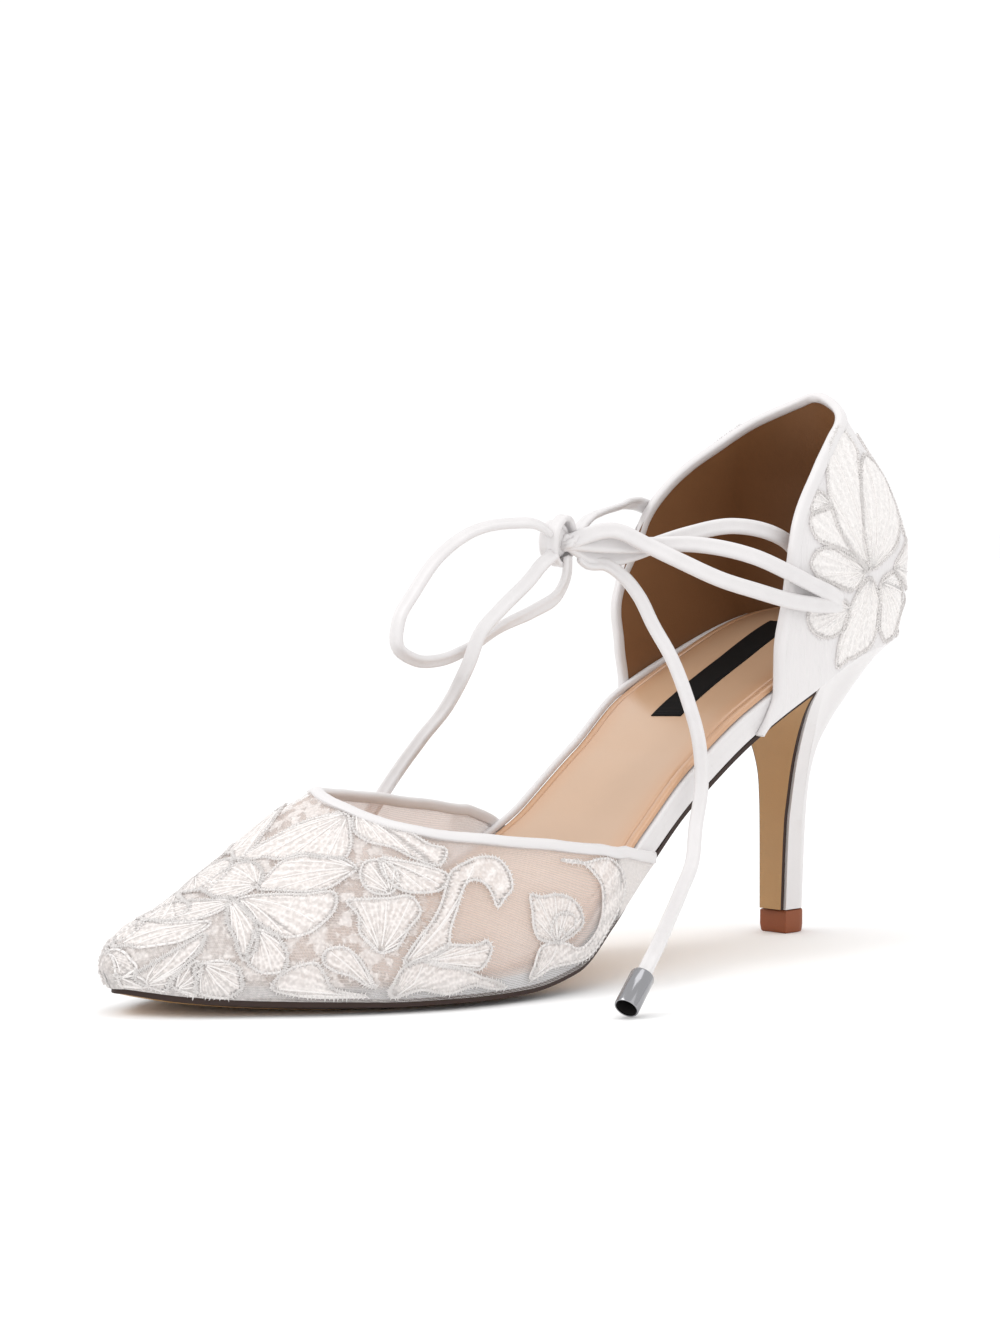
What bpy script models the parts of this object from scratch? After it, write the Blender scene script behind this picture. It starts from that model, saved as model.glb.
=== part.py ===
"""A left lace up court shoe with a pointed toe, a separate vamp and heel counter, and a high stiletto heel.

Metres, +Z up. The toe points along -Y and the outer side of the foot is +X.
The origin is the centre of the heel's top piece, on the floor.
Places along the foot are given by their reach, the distance forward of the origin.
"""
import math

import bmesh
import bpy
import numpy as np

# The last: length, widths and heights that set the whole shoe
TOE_REACH = 0.2148          # origin to the front of the insole board
SEAT_OVERHANG = 0.029       # origin back to the rear of the insole board
SEAT_HEIGHT = 0.0765        # underside of the shoe at the rear of the seat
BALL_LATERAL = 0.0390       # centre line to the board's outer edge at the ball
BALL_MEDIAL = 0.0354        # centre line to the board's inner edge at the ball
SEAT_ROUND = 0.022          # length of the round stretch at the rear of the seat
TOE_ROUND = 0.0088          # length of the round stretch at the toe point

# Thicknesses, and the clearance that every pair of touching pieces keeps
CLEARANCE = 0.0003
SOLE_THICKNESS = 0.0018
SOLE_EDGE = 0.0009          # the sole stands proud of the board round the forepart
WAIST_INSET = 0.0008        # and is cut back from it at the waist
SOLE_CAMBER = 0.0024        # the forepart's lower face bulges this far below its edges, to the floor
CAMBER_START = 0.0850
CAMBER_LENGTH = 0.0350      # stretch over which the bulge begins
WAIST_LENGTH = 0.0900       # stretch over which the sole's edge changes from one to the other
SOLE_PLACES = (-1, -0.9, -0.75, -0.5, 0, 0.5, 0.75, 0.9, 1)  # shares of its half width with points
BOARD_THICKNESS = 0.0058
SOCK_THICKNESS = 0.0012
COUNTER_WALL = 0.0016
VAMP_WALL = 0.0012
BINDING_WIDTH = 0.0030      # folded satin tape along each top line
BINDING_STEP = 0.0005       # how far the tape stands proud of the wall
SOCK_INSET = 0.0011         # board edge that shows beside the sock lining
BOARD_SIDE_GAP = 0.0004     # board edge to the inside of the upper

# Upper
COUNTER_TOP = 0.1410        # top of the counter at the back
COUNTER_REACH = 0.0395      # front lower corner of the counter
COUNTER_SHOULDER = 0.0300   # where its front edge turns into the top line
OUTLINE_SPARE = 0.0200      # the seat's outline is followed this far past that corner
SHOULDER_HEIGHT = 0.1020
FORM_EASE = 0.5             # share of COUNTER_FORM's width that is given back by the front of the counter
LEAN_POWER = 1.5            # how soon its lean fades from the back forwards
TAPE_SHOULDER = 0.0004      # length of the step from the tape down to the wall
VAMP_CORNER = 0.0800        # reach of the vamp's rear corners at the sole
VAMP_TAPER = 0.0140         # stretch over which the rear corners rise to the board's full edge
CORNER_RIM = 0.3            # share of that edge at the very corners
THROAT_REACH = 0.1615       # reach of the middle of the vamp's top line
VAMP_HEIGHT = 0.0475        # top of the vamp at the throat

# Heel and top piece
TIP_WIDTH = 0.0086
TIP_DEPTH = 0.0090
TOP_PIECE_HEIGHT = 0.0060
TOP_PIECE_EDGE = 0.0002     # top piece stands proud of the heel all round
BREAST_REACH = 0.0165       # front of the heel where it meets the sole
FLAP_THICKNESS = 0.0010     # leather flap down the breast of the heel
FLAP_INSET = 0.0006
HEEL_LEVELS = (0.0, 0.2, 0.39, 0.49, 0.59, 0.69, 0.79, 0.87, 0.94, 1.0)
BREAST_LEVELS = (0.955, 0.91, 0.86, 0.80, 0.72, 0.62, 0.50, 0.35, 0.18, 0.0)
RING_COUNT = 25             # points round each level of the heel
RING_FULLNESS = 0.7         # below 1 the back of each level stays broad towards its corners

# Laces
LACE_WIDTH = 0.0032
HOLE_WIDTH = 0.0060         # lace hole in each side of the counter
HOLE_REACH = 0.0130
HOLE_HEIGHT = 0.0876
HOLE_CUTTER_LENGTH = 0.0900 # reaches through both sides of the counter
END_WIDTH = 0.0058          # metal tube on each end of the lace
END_LENGTH = 0.0105
END_WALL = 0.0004
END_BORE = 0.0045           # empty stretch at the open end of the tube

# Sections of the last's bottom. along: share of the board's length from its rear.
# rise: share of SEAT_HEIGHT. lateral, medial: shares of BALL_LATERAL and BALL_MEDIAL.
# board: share of BOARD_THICKNESS, which the insole board keeps at the seat and the waist.
LAST_COLUMNS = ("along", "rise", "lateral", "medial", "board")
LAST = (
    (0.000, 1.000, 0.572, 0.630, 1.00),
    (0.090, 0.952, 0.572, 0.630, 1.00),
    (0.201, 0.815, 0.620, 0.655, 1.00),
    (0.283, 0.690, 0.626, 0.644, 1.00),
    (0.365, 0.517, 0.618, 0.560, 1.00),
    (0.447, 0.332, 0.682, 0.551, 1.00),
    (0.529, 0.175, 0.836, 0.706, 0.92),
    (0.603, 0.060, 0.969, 0.881, 0.78),
    (0.673, 0.024, 1.000, 0.989, 0.66),
    (0.734, 0.019, 0.956, 1.000, 0.58),
    (0.796, 0.019, 0.833, 0.955, 0.55),
    (0.857, 0.026, 0.626, 0.847, 0.55),
    (0.919, 0.034, 0.323, 0.686, 0.55),
    (0.968, 0.048, 0.040, 0.537, 0.55),
    (1.000, 0.066, -0.180, 0.446, 0.55),
)

# Ridge of the vamp. along: share of the board's length. high: share of VAMP_HEIGHT.
# full: exponent of the section's arch, low where the instep is peaked.
RIDGE_COLUMNS = ("along", "high", "full")
RIDGE = (
    (0.440, 1.700, 1.85),
    (0.575, 1.400, 1.80),
    (0.701, 1.160, 1.75),
    (0.790, 0.985, 1.80),
    (0.875, 0.710, 1.95),
    (0.940, 0.500, 2.10),
    (0.975, 0.430, 2.20),
    (1.010, 0.385, 2.20),
)

# Form of the counter. up: share of the height from the rear of the seat to COUNTER_TOP.
# wide: width against the seat. lean: forward shift of the back, a share of that height.
COUNTER_COLUMNS = ("up", "wide", "lean")
COUNTER_FORM = (
    (-0.40, 1.00, 0.000),
    (0.00, 1.00, 0.000),
    (0.20, 1.10, -0.025),
    (0.36, 1.12, -0.030),
    (0.46, 1.09, 0.000),
    (0.64, 0.95, 0.075),
    (0.80, 0.72, 0.180),
    (1.00, 0.40, 0.300),
)

# Top line of the counter. around: share of the way from the back to the shoulder.
# drop: share of the way down from COUNTER_TOP to SHOULDER_HEIGHT.
TOP_LINE_COLUMNS = ("around", "drop")
TOP_LINE = ((0.00, 0.00), (0.18, 0.04), (0.36, 0.125), (0.53, 0.235), (0.64, 0.33), (0.77, 0.46),
            (0.90, 0.66), (0.97, 0.84), (1.00, 1.00))

# Front edges of the counter. up: share of their height.
# lateral, medial: share of the way back from the lower corner to the shoulder.
FRONT_EDGE_COLUMNS = ("up", "lateral", "medial")
FRONT_EDGE = (
    (0.00, 0.00, 0.00),
    (0.08, 0.32, 0.18),
    (0.22, 0.66, 0.22),
    (0.42, 0.68, 0.06),
    (0.58, 0.73, 0.00),
    (0.79, 0.84, 0.30),
    (1.00, 1.00, 1.00),
)

# Flare of the heel. up: share of its height. back, side: how far the rear and the two front
# corners have opened towards the seat. front: the same for the reach of the breast.
FLARE_COLUMNS = ("up", "back", "side", "front")
FLARE = (
    (0.00, 0.00, 0.00, 0.00),
    (0.39, 0.06, 0.03, -0.04),
    (0.49, 0.10, 0.055, -0.07),
    (0.59, 0.18, 0.09, -0.09),
    (0.69, 0.33, 0.16, -0.07),
    (0.79, 0.53, 0.28, 0.02),
    (0.87, 0.69, 0.44, 0.20),
    (0.94, 0.84, 0.67, 0.50),
    (1.00, 1.00, 1.00, 1.00),
)

# Routes of the lace in millimetres: x, reach and height, chosen by hand from the photograph
NEAR_LOW = ((26.6, 13.0, 87.6), (29.2, 13.1, 87.5), (30.4, 15.6, 87.4), (30.5, 24.0, 87.7), (30.4, 33.0, 88.9),
            (27.8, 43.0, 91.6), (23.6, 51.4, 94.5), (17.0, 59.4, 99.2), (11.0, 64.9, 103.1), (6.5, 70.5, 106.5))
NEAR_HIGH = ((26.6, 13.0, 87.6), (29.2, 13.1, 87.8), (30.6, 16.0, 89.2), (30.8, 26.0, 93.0), (30.4, 33.0, 95.7),
             (26.0, 41.5, 99.9), (20.5, 47.5, 102.1), (14.5, 54.5, 103.2), (9.8, 60.5, 103.0), (5.5, 68.0, 102.9))
NEAR_INNER = ((28.0, 13.0, 87.6), (25.0, 13.1, 87.8), (23.6, 15.0, 90.4), (21.6, 25.2, 103.6), (16.0, 38.4, 107.4),
              (10.5, 49.5, 105.4), (8.4, 57.5, 103.3), (4.5, 64.5, 100.6), (2.5, 70.0, 99.4))
FAR_HIGH = ((-25.6, 13.0, 87.6), (-28.6, 13.0, 87.8), (-30.0, 13.4, 90.4), (-29.9, 15.0, 102.0), (-29.1, 18.5, 109.4),
            (-28.4, 25.0, 112.8), (-25.0, 33.0, 113.8), (-17.0, 46.3, 112.9), (-8.0, 63.0, 111.0), (-3.0, 71.8, 109.4))
FAR_LOW = ((-25.6, 13.0, 87.6), (-28.6, 13.1, 87.7), (-30.2, 16.0, 89.8), (-30.4, 22.0, 98.0), (-30.9, 27.5, 103.8),
           (-30.0, 33.5, 106.6), (-23.0, 43.0, 108.0), (-12.0, 56.0, 107.4), (-4.0, 70.5, 104.5))
LOOP = ((-1.0, 92.2, 108.6), (-3.0, 97.5, 108.8), (-5.0, 108.2, 107.3), (-6.5, 118.7, 101.5), (-7.0, 126.9, 92.9),
        (-7.0, 132.0, 86.2), (-6.5, 132.9, 80.0), (-6.0, 127.5, 76.6), (-5.5, 119.7, 76.3), (-5.0, 111.3, 78.6),
        (-4.0, 99.8, 84.0), (-2.5, 90.5, 87.4), (-0.8, 84.6, 90.8), (0.4, 82.6, 95.4))
FAR_TAIL = ((1.0, 91.0, 99.2), (0.8, 95.8, 95.0), (0.6, 105.3, 88.3), (0.5, 112.3, 82.5), (-0.6, 115.0, 75.5),
            (-7.5, 115.6, 65.0), (-18.0, 114.6, 56.0), (-27.5, 115.0, 46.0), (-35.5, 117.5, 34.0), (-41.0, 122.0, 20.0),
            (-44.5, 128.0, 9.5), (-46.8, 134.6, 4.6))
NEAR_TAIL = ((1.5, 76.5, 95.6), (3.2, 71.5, 94.9), (5.6, 67.4, 93.2), (8.6, 65.6, 90.6), (13.0, 64.9, 83.6),
             (19.0, 64.3, 75.2), (24.0, 64.0, 65.3), (27.4, 63.8, 56.0), (29.6, 65.0, 45.4), (33.5, 71.4, 34.9),
             (38.5, 77.8, 28.4), (46.0, 90.0, 22.4), (57.0, 106.5, 17.4), (66.5, 120.6, 13.4),
             (69.8, 126.2, 11.4))
# Middles of the metal ends: where the lace enters, and the open end
NEAR_END = ((71.2, 129.8, 8.9), (73.3, 137.3, 2.7))
FAR_END = ((-47.8, 140.4, 4.0), (-49.5, 150.5, 3.2))
# Middle and reach of the knot along x, the foot's length and the height
KNOT_MIDDLE = (1.0, 82.3, 103.8)
KNOT_SIZE = (5.2, 8.6, 6.2)

MILLIMETRE = 0.001
BOARD_LENGTH = TOE_REACH + SEAT_OVERHANG
BOARD_LOW = SOLE_THICKNESS + CLEARANCE


def column(rows, names, wanted):
    """One named column of a table, as an array."""
    return np.array([row[names.index(wanted)] for row in rows], float)


def smooth(xs, ys, x):
    """Monotone cubic curve through the points (xs, ys), read at x; level past both ends."""
    step = np.diff(xs)
    slope = np.diff(ys) / step
    tangent = np.zeros(len(xs))
    same_way = slope[:-1] * slope[1:] > 0
    before, after = 2 * step[1:] + step[:-1], step[1:] + 2 * step[:-1]
    safe = np.where(same_way, slope[:-1] * slope[1:], 1.0)
    mean = (before + after) * safe / (before * slope[1:] + after * slope[:-1] + 1e-30)
    tangent[1:-1] = np.where(same_way, mean, 0.0)
    tangent[0], tangent[-1] = slope[0], slope[-1]
    x = np.clip(np.asarray(x, float), xs[0], xs[-1])
    i = np.clip(np.searchsorted(xs, x, side="right") - 1, 0, len(step) - 1)
    t = (x - xs[i]) / step[i]
    return (ys[i] * (1 + 2 * t) * (1 - t) ** 2 + step[i] * tangent[i] * t * (1 - t) ** 2
            + ys[i + 1] * t * t * (3 - 2 * t) + step[i] * tangent[i + 1] * t * t * (t - 1))


def last(name, reach):
    """A column of LAST at a reach."""
    along = (np.asarray(reach, float) + SEAT_OVERHANG) / BOARD_LENGTH
    return smooth(column(LAST, LAST_COLUMNS, "along"), column(LAST, LAST_COLUMNS, name), along)


def ridge(name, reach):
    """A column of RIDGE at a reach."""
    along = (np.asarray(reach, float) + SEAT_OVERHANG) / BOARD_LENGTH
    return smooth(column(RIDGE, RIDGE_COLUMNS, "along"), column(RIDGE, RIDGE_COLUMNS, name), along)


def underside(reach):
    """Height of the sole's lower face."""
    return SEAT_HEIGHT * last("rise", reach)


def steepness(reach):
    """Length along the sole for one unit of reach, which thickens slanted layers."""
    step = 0.0005
    slope = (underside(reach + step) - underside(reach - step)) / (2 * step)
    return np.sqrt(1 + slope * slope)


def layer(reach, depth):
    """Height of a face that lies depth above the sole's lower face, measured square to it."""
    return underside(reach) + depth * steepness(reach)


def board_top(reach):
    """Depth of the insole board's upper face above the sole's lower face."""
    return BOARD_LOW + BOARD_THICKNESS * last("board", reach)


def rounding(reach, grow):
    """1 along the foot, falling on an ellipse to 0 at the rear and at the toe of an outline grown by grow."""
    rear_centre = SEAT_ROUND - SEAT_OVERHANG
    toe_centre = TOE_REACH - TOE_ROUND
    rear = np.clip((rear_centre - reach) / (SEAT_ROUND + grow), 0, 1)
    toe = np.clip((reach - toe_centre) / (TOE_ROUND + grow), 0, 1)
    return np.sqrt(1 - rear ** 2) * np.sqrt(1 - toe ** 2)


def middle(reach):
    """X of the middle of the outline."""
    return (BALL_LATERAL * last("lateral", reach) - BALL_MEDIAL * last("medial", reach)) / 2


def half_width(reach, grow):
    """Half the width of the board's outline, grown by grow."""
    half = (BALL_LATERAL * last("lateral", reach) + BALL_MEDIAL * last("medial", reach)) / 2
    return (half + grow) * rounding(reach, grow)


def stations(start, end, count, start_round=0.0, end_round=0.0):
    """Reaches from start to end, closer together on the round stretches at either end."""
    rear = start + start_round * (1 - np.cos(np.linspace(0, math.pi / 2, 7)[:-1])) if start_round else []
    toe = end - end_round * (1 - np.sin(np.linspace(0, math.pi / 2, 6)[1:])) if end_round else []
    return np.concatenate([rear, np.linspace(start + start_round, end - end_round, count), toe])


def material(name, colour, roughness, metallic=0.0):
    """A Principled material in linear colour."""
    made = bpy.data.materials.new(name)
    made.use_nodes = True
    shader = made.node_tree.nodes["Principled BSDF"]
    shader.inputs["Base Color"].default_value = (*colour, 1)
    shader.inputs["Roughness"].default_value = roughness
    shader.inputs["Metallic"].default_value = metallic
    return made


def add_object(name, data, finish):
    """Links a mesh or curve as a named object with its material."""
    made = bpy.data.objects.new(name, data)
    bpy.context.scene.collection.objects.link(made)
    data.materials.append(finish)
    return made


def solid_from(name, points, faces, finish, sharp_degrees=40):
    """A closed mesh object from points and faces, with doubles merged and its faces turned outwards."""
    work = bmesh.new()
    made = [work.verts.new(p) for p in points]
    for face in faces:
        corners = [made[k] for k in dict.fromkeys(face)]
        if len(corners) > 2:
            work.faces.new(corners)
    bmesh.ops.remove_doubles(work, verts=work.verts, dist=1e-6)
    bmesh.ops.dissolve_degenerate(work, edges=work.edges, dist=1e-6)
    bmesh.ops.triangulate(work, faces=work.faces)
    bmesh.ops.recalc_face_normals(work, faces=work.faces)
    mesh = bpy.data.meshes.new(name)
    work.to_mesh(mesh)
    work.free()
    mesh.shade_smooth()
    mesh.set_sharp_from_angle(angle=math.radians(sharp_degrees))
    return add_object(name, mesh, finish)


def shell(name, outside, inside, finish, seam_end=False):
    """A closed wall between two grids of points of the same size, closed along its borders.

    With seam_end the last row is folded onto itself, and needs no border.
    """
    rows, columns = outside.shape[:2]
    size = rows * columns

    def at(side, i, j):
        return side * size + i * columns + j

    faces = []
    for i in range(rows - 1):
        for j in range(columns - 1):
            faces.append((at(0, i, j), at(0, i + 1, j), at(0, i + 1, j + 1), at(0, i, j + 1)))
            faces.append((at(1, i, j), at(1, i, j + 1), at(1, i + 1, j + 1), at(1, i + 1, j)))
    border = ([(i, 0) for i in range(rows)] + [(rows - 1, j) for j in range(1, columns)]
              + [(i, columns - 1) for i in range(rows - 2, -1, -1)] + [(0, j) for j in range(columns - 2, 0, -1)])
    for (i, j), (k, m) in zip(border, border[1:] + border[:1]):
        if not (seam_end and i == k == rows - 1):
            faces.append((at(0, i, j), at(1, i, j), at(1, k, m), at(0, k, m)))
    points = np.concatenate([outside.reshape(-1, 3), inside.reshape(-1, 3)])
    return solid_from(name, points, faces, finish)


def slab(name, reaches, grow, low, top, finish, across=7):
    """A layer of the sole: the outline grown by grow, between two depths above the sole's lower face."""
    share = np.sin(np.linspace(-math.pi / 2, math.pi / 2, across))
    grow = np.broadcast_to(grow, reaches.shape)
    half = half_width(reaches, grow)
    x = middle(reaches)[:, None] + half[:, None] * share
    y = np.broadcast_to(-reaches[:, None], x.shape)
    faces = [np.stack([x, y, np.broadcast_to(layer(reaches, depth)[:, None], x.shape)], -1) for depth in (top, low)]
    return shell(name, faces[0], faces[1], finish)


def grid_normals(grid):
    """Unit normals of a grid of points, from the directions along its rows and columns."""
    along = np.gradient(grid, axis=0)
    across = np.gradient(grid, axis=1)
    normal = np.cross(along, across)
    return normal / np.maximum(np.linalg.norm(normal, axis=-1, keepdims=True), 1e-12)


def seat_outline(side, grow):
    """Distance, x and y along one side of the seat's outline, from the middle of its back forwards."""
    turn = np.linspace(0, math.pi / 2, 40)
    rear_centre = SEAT_ROUND - SEAT_OVERHANG
    rear = rear_centre - (SEAT_ROUND + grow) * np.cos(turn)
    reach = np.concatenate([rear, np.linspace(rear_centre, COUNTER_REACH + OUTLINE_SPARE, 60)[1:]])
    x = middle(reach) + side * half_width(reach, grow)
    y = -reach
    x[0] = 0.0
    distance = np.concatenate([[0], np.cumsum(np.hypot(np.diff(x), np.diff(y)))])
    return distance, x, y


def counter_form(name, height):
    """A column of COUNTER_FORM at a height."""
    up = (height - SEAT_HEIGHT) / (COUNTER_TOP - SEAT_HEIGHT)
    return smooth(column(COUNTER_FORM, COUNTER_COLUMNS, "up"), column(COUNTER_FORM, COUNTER_COLUMNS, name), up)


def counter_point(side, distance, height, grow):
    """A point of the counter's surface, above a place on the seat's outline, at a height."""
    outline = seat_outline(side, grow)
    x = np.interp(distance, outline[0], outline[1])
    y = np.interp(distance, outline[0], outline[2])
    front = -COUNTER_SHOULDER
    rear = SEAT_OVERHANG + grow
    ease = 1 - FORM_EASE * distance / outline[0][-1]
    x = x * (1 + (counter_form("wide", height) - 1) * ease)
    share = np.clip((y - front) / (rear - front), 0, 1) ** LEAN_POWER
    y = y - counter_form("lean", height) * (COUNTER_TOP - SEAT_HEIGHT) * share
    return np.stack([x, y, height], -1)


def counter_half(side, around, up_rows):
    """One side of the counter's outer face: a grid from its front edge to the middle of its back."""
    grow = BOARD_SIDE_GAP + COUNTER_WALL
    outline = seat_outline(side, grow)
    corner = np.interp(COUNTER_REACH, -outline[2], outline[0])
    shoulder = np.interp(COUNTER_SHOULDER, -outline[2], outline[0])
    edge_tape = BINDING_WIDTH / shoulder
    shares = np.concatenate([[0, edge_tape, edge_tape + TAPE_SHOULDER / shoulder], around[1:]])
    low = corner * (1 - shares)
    top = shoulder * (1 - shares)
    drop = smooth(column(TOP_LINE, TOP_LINE_COLUMNS, "around"), column(TOP_LINE, TOP_LINE_COLUMNS, "drop"), 1 - shares)
    top_height = COUNTER_TOP - (COUNTER_TOP - SHOULDER_HEIGHT) * drop
    low_reach = -np.interp(low, outline[0], outline[2])
    low_height = layer(low_reach, BOARD_LOW)
    tape = BINDING_WIDTH / (top_height - low_height)
    wall = (BINDING_WIDTH + TAPE_SHOULDER) / (top_height - low_height)
    rows = np.array([np.concatenate([up_rows * (1 - w), [1 - t, 1]]) for t, w in zip(tape, wall)])
    height = low_height[:, None] + (top_height - low_height)[:, None] * rows
    toward_top = smooth(column(FRONT_EDGE, FRONT_EDGE_COLUMNS, "up"),
                        column(FRONT_EDGE, FRONT_EDGE_COLUMNS, "lateral" if side > 0 else "medial"), rows)
    distance = low[:, None] + (top - low)[:, None] * toward_top
    return counter_point(side, distance, height, grow)


def build_counter(finish):
    """Heel counter: one stiff wall round the heel, open above and in front, with taped edges."""
    around = np.concatenate([[0], np.linspace(0.10, 1.0, 15)])
    up_rows = np.array([0, 0.10, 0.20, 0.34, 0.48, 0.62, 0.76, 0.89, 1.0])
    lateral = counter_half(1, around, up_rows)
    medial = counter_half(-1, around, up_rows)
    medial[-1] = lateral[-1]
    middle_line = lateral[-1:] * 0.5 + medial[-1:] * 0.5
    grid = np.concatenate([lateral[:-1], middle_line, medial[-2::-1]])
    normal = grid_normals(grid)
    outward = np.sign(((grid - grid.mean((0, 1))) * normal).sum(-1).mean())
    normal = normal * outward
    normal[:, 0, 2] = 0
    normal = normal / np.linalg.norm(normal, axis=-1, keepdims=True)
    proud = np.zeros(grid.shape[:2])
    proud[:, -2:] = BINDING_STEP
    proud[:2, :] = BINDING_STEP
    proud[-2:, :] = BINDING_STEP
    return shell("counter", grid + normal * proud[..., None], grid - normal * COUNTER_WALL, finish)


def vamp_grid(grow, drop):
    """A face of the vamp: arches across the foot, from the top line forwards to the toe point."""
    turn = np.concatenate([[0], np.linspace(0, math.pi, 27), [math.pi]])
    back = VAMP_CORNER + (THROAT_REACH - VAMP_CORNER) * np.sin(turn)
    tip = TOE_REACH + grow
    start = np.array([0, BINDING_WIDTH, BINDING_WIDTH + TAPE_SHOULDER])
    toe_centre = TOE_REACH - TOE_ROUND
    run = np.linspace(0.06, 1, 14)
    tip_turn = np.sin(np.linspace(0, math.pi / 2, 7)[1:])
    reach = np.concatenate([back + start[:, None], back + start[2] + (toe_centre - back - start[2]) * run[:, None],
                            toe_centre + (tip - toe_centre) * np.broadcast_to(tip_turn[:, None], (6, len(turn)))])
    half = half_width(reach, grow)
    base = layer(reach, BOARD_LOW)
    toe_fade = rounding(np.maximum(reach, 0), grow)
    rim = layer(reach, board_top(reach)) - base
    arch = np.maximum((VAMP_HEIGHT * ridge("high", reach) - base - rim) * toe_fade - drop, 0)
    power = 2 / ridge("full", reach)
    x = middle(reach) + half * np.sign(np.cos(turn)) * np.abs(np.cos(turn)) ** power
    taper = np.clip(CORNER_RIM + (1 - CORNER_RIM) * (reach - VAMP_CORNER) / VAMP_TAPER, 0, 1)
    lift = np.where(np.arange(len(turn)) % (len(turn) - 1) == 0, 0, rim * taper)
    z = base + lift + arch * np.sin(turn) ** power
    return np.stack([x, -reach, z], -1)


def build_vamp(finish):
    """Vamp: one thin wall over the toes, open along its top line and underneath."""
    outside = vamp_grid(BOARD_SIDE_GAP + VAMP_WALL, 0.0)
    inside = vamp_grid(BOARD_SIDE_GAP, VAMP_WALL)
    away = outside[:2] - inside[:2]
    outside[:2] += BINDING_STEP * away / np.linalg.norm(away, axis=-1, keepdims=True)
    return shell("vamp", outside, inside, finish, seam_end=True)


def heel_ring(up, seat, tip):
    """One level of the heel: the tip's outline opened towards the seat's by the flare."""
    count = len(seat)
    rows = {name: smooth(column(FLARE, FLARE_COLUMNS, "up"), column(FLARE, FLARE_COLUMNS, name), up)
            for name in ("back", "side", "front")}
    behind = np.sin(np.linspace(0, math.pi, count)) ** RING_FULLNESS
    share_x = rows["side"] + (rows["back"] - rows["side"]) * behind
    share_y = rows["front"] + (rows["back"] - rows["front"]) * behind
    x = tip[:, 0] + (seat[:, 0] - tip[:, 0]) * share_x
    y = tip[:, 1] + (seat[:, 1] - tip[:, 1]) * share_y
    z = tip[:, 2] + (seat[:, 2] - tip[:, 2]) * up
    return np.stack([x, y, z], -1)


def tip_outline(count, grow, height):
    """D of the heel's tip, from its outer front corner round the back to its inner front corner."""
    turn = np.linspace(0, math.pi, count)
    half = TIP_WIDTH / 2 + grow
    front = -TIP_DEPTH / 2 - grow
    arc_start = TIP_DEPTH / 2 - TIP_WIDTH / 2
    x = half * np.cos(turn)
    y = np.where(np.abs(np.cos(turn)) > 0.999, front, arc_start + half * np.sin(turn))
    return np.stack([x, y, np.full(count, height)], -1)


def seat_ring(count):
    """Outline of the heel's upper face, from its outer front corner round the back to the inner one."""
    grow = BOARD_SIDE_GAP + COUNTER_WALL
    halves = []
    for side in (1, -1):
        distance, x, y = seat_outline(side, grow)
        front = np.interp(BREAST_REACH, -y, distance)
        d = front * (1 - np.linspace(0, 1, count // 2 + 1))
        halves.append(np.stack([np.interp(d, distance, x), np.interp(d, distance, y)], -1))
    ring = np.concatenate([halves[0], halves[1][-2::-1]])
    return np.column_stack([ring, layer(-ring[:, 1], SOLE_THICKNESS)])


def build_heel(finish):
    """Covered stiletto heel: D sections that flare from the tip to the seat, with a flat breast."""
    seat = seat_ring(RING_COUNT)
    tip = tip_outline(RING_COUNT, 0.0, TOP_PIECE_HEIGHT + CLEARANCE)
    rings = [heel_ring(up, seat, tip) for up in HEEL_LEVELS]
    count = RING_COUNT
    points = np.concatenate(rings)
    faces = []
    for level in range(len(rings) - 1):
        for k in range(count):
            a, b = level * count + k, level * count + (k + 1) % count
            faces.append((a, b, b + count, a + count))
    for first in (0, (len(rings) - 1) * count):
        for k in range(count // 2):
            other = count - 1 - k
            faces.append((first + k, first + k + 1, first + other - 1, first + other))
    return solid_from("heel", points, faces, finish)


def build_top_piece(finish):
    """Top piece: the hard block under the heel, flat on the floor."""
    low = tip_outline(RING_COUNT, TOP_PIECE_EDGE, 0.0)
    top = tip_outline(RING_COUNT, TOP_PIECE_EDGE, TOP_PIECE_HEIGHT)
    count = RING_COUNT
    faces = [tuple(range(count)), tuple(range(count, 2 * count))]
    faces += [(k, (k + 1) % count, (k + 1) % count + count, k + count) for k in range(count)]
    return solid_from("top_piece", np.concatenate([low, top]), faces, finish)


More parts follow.
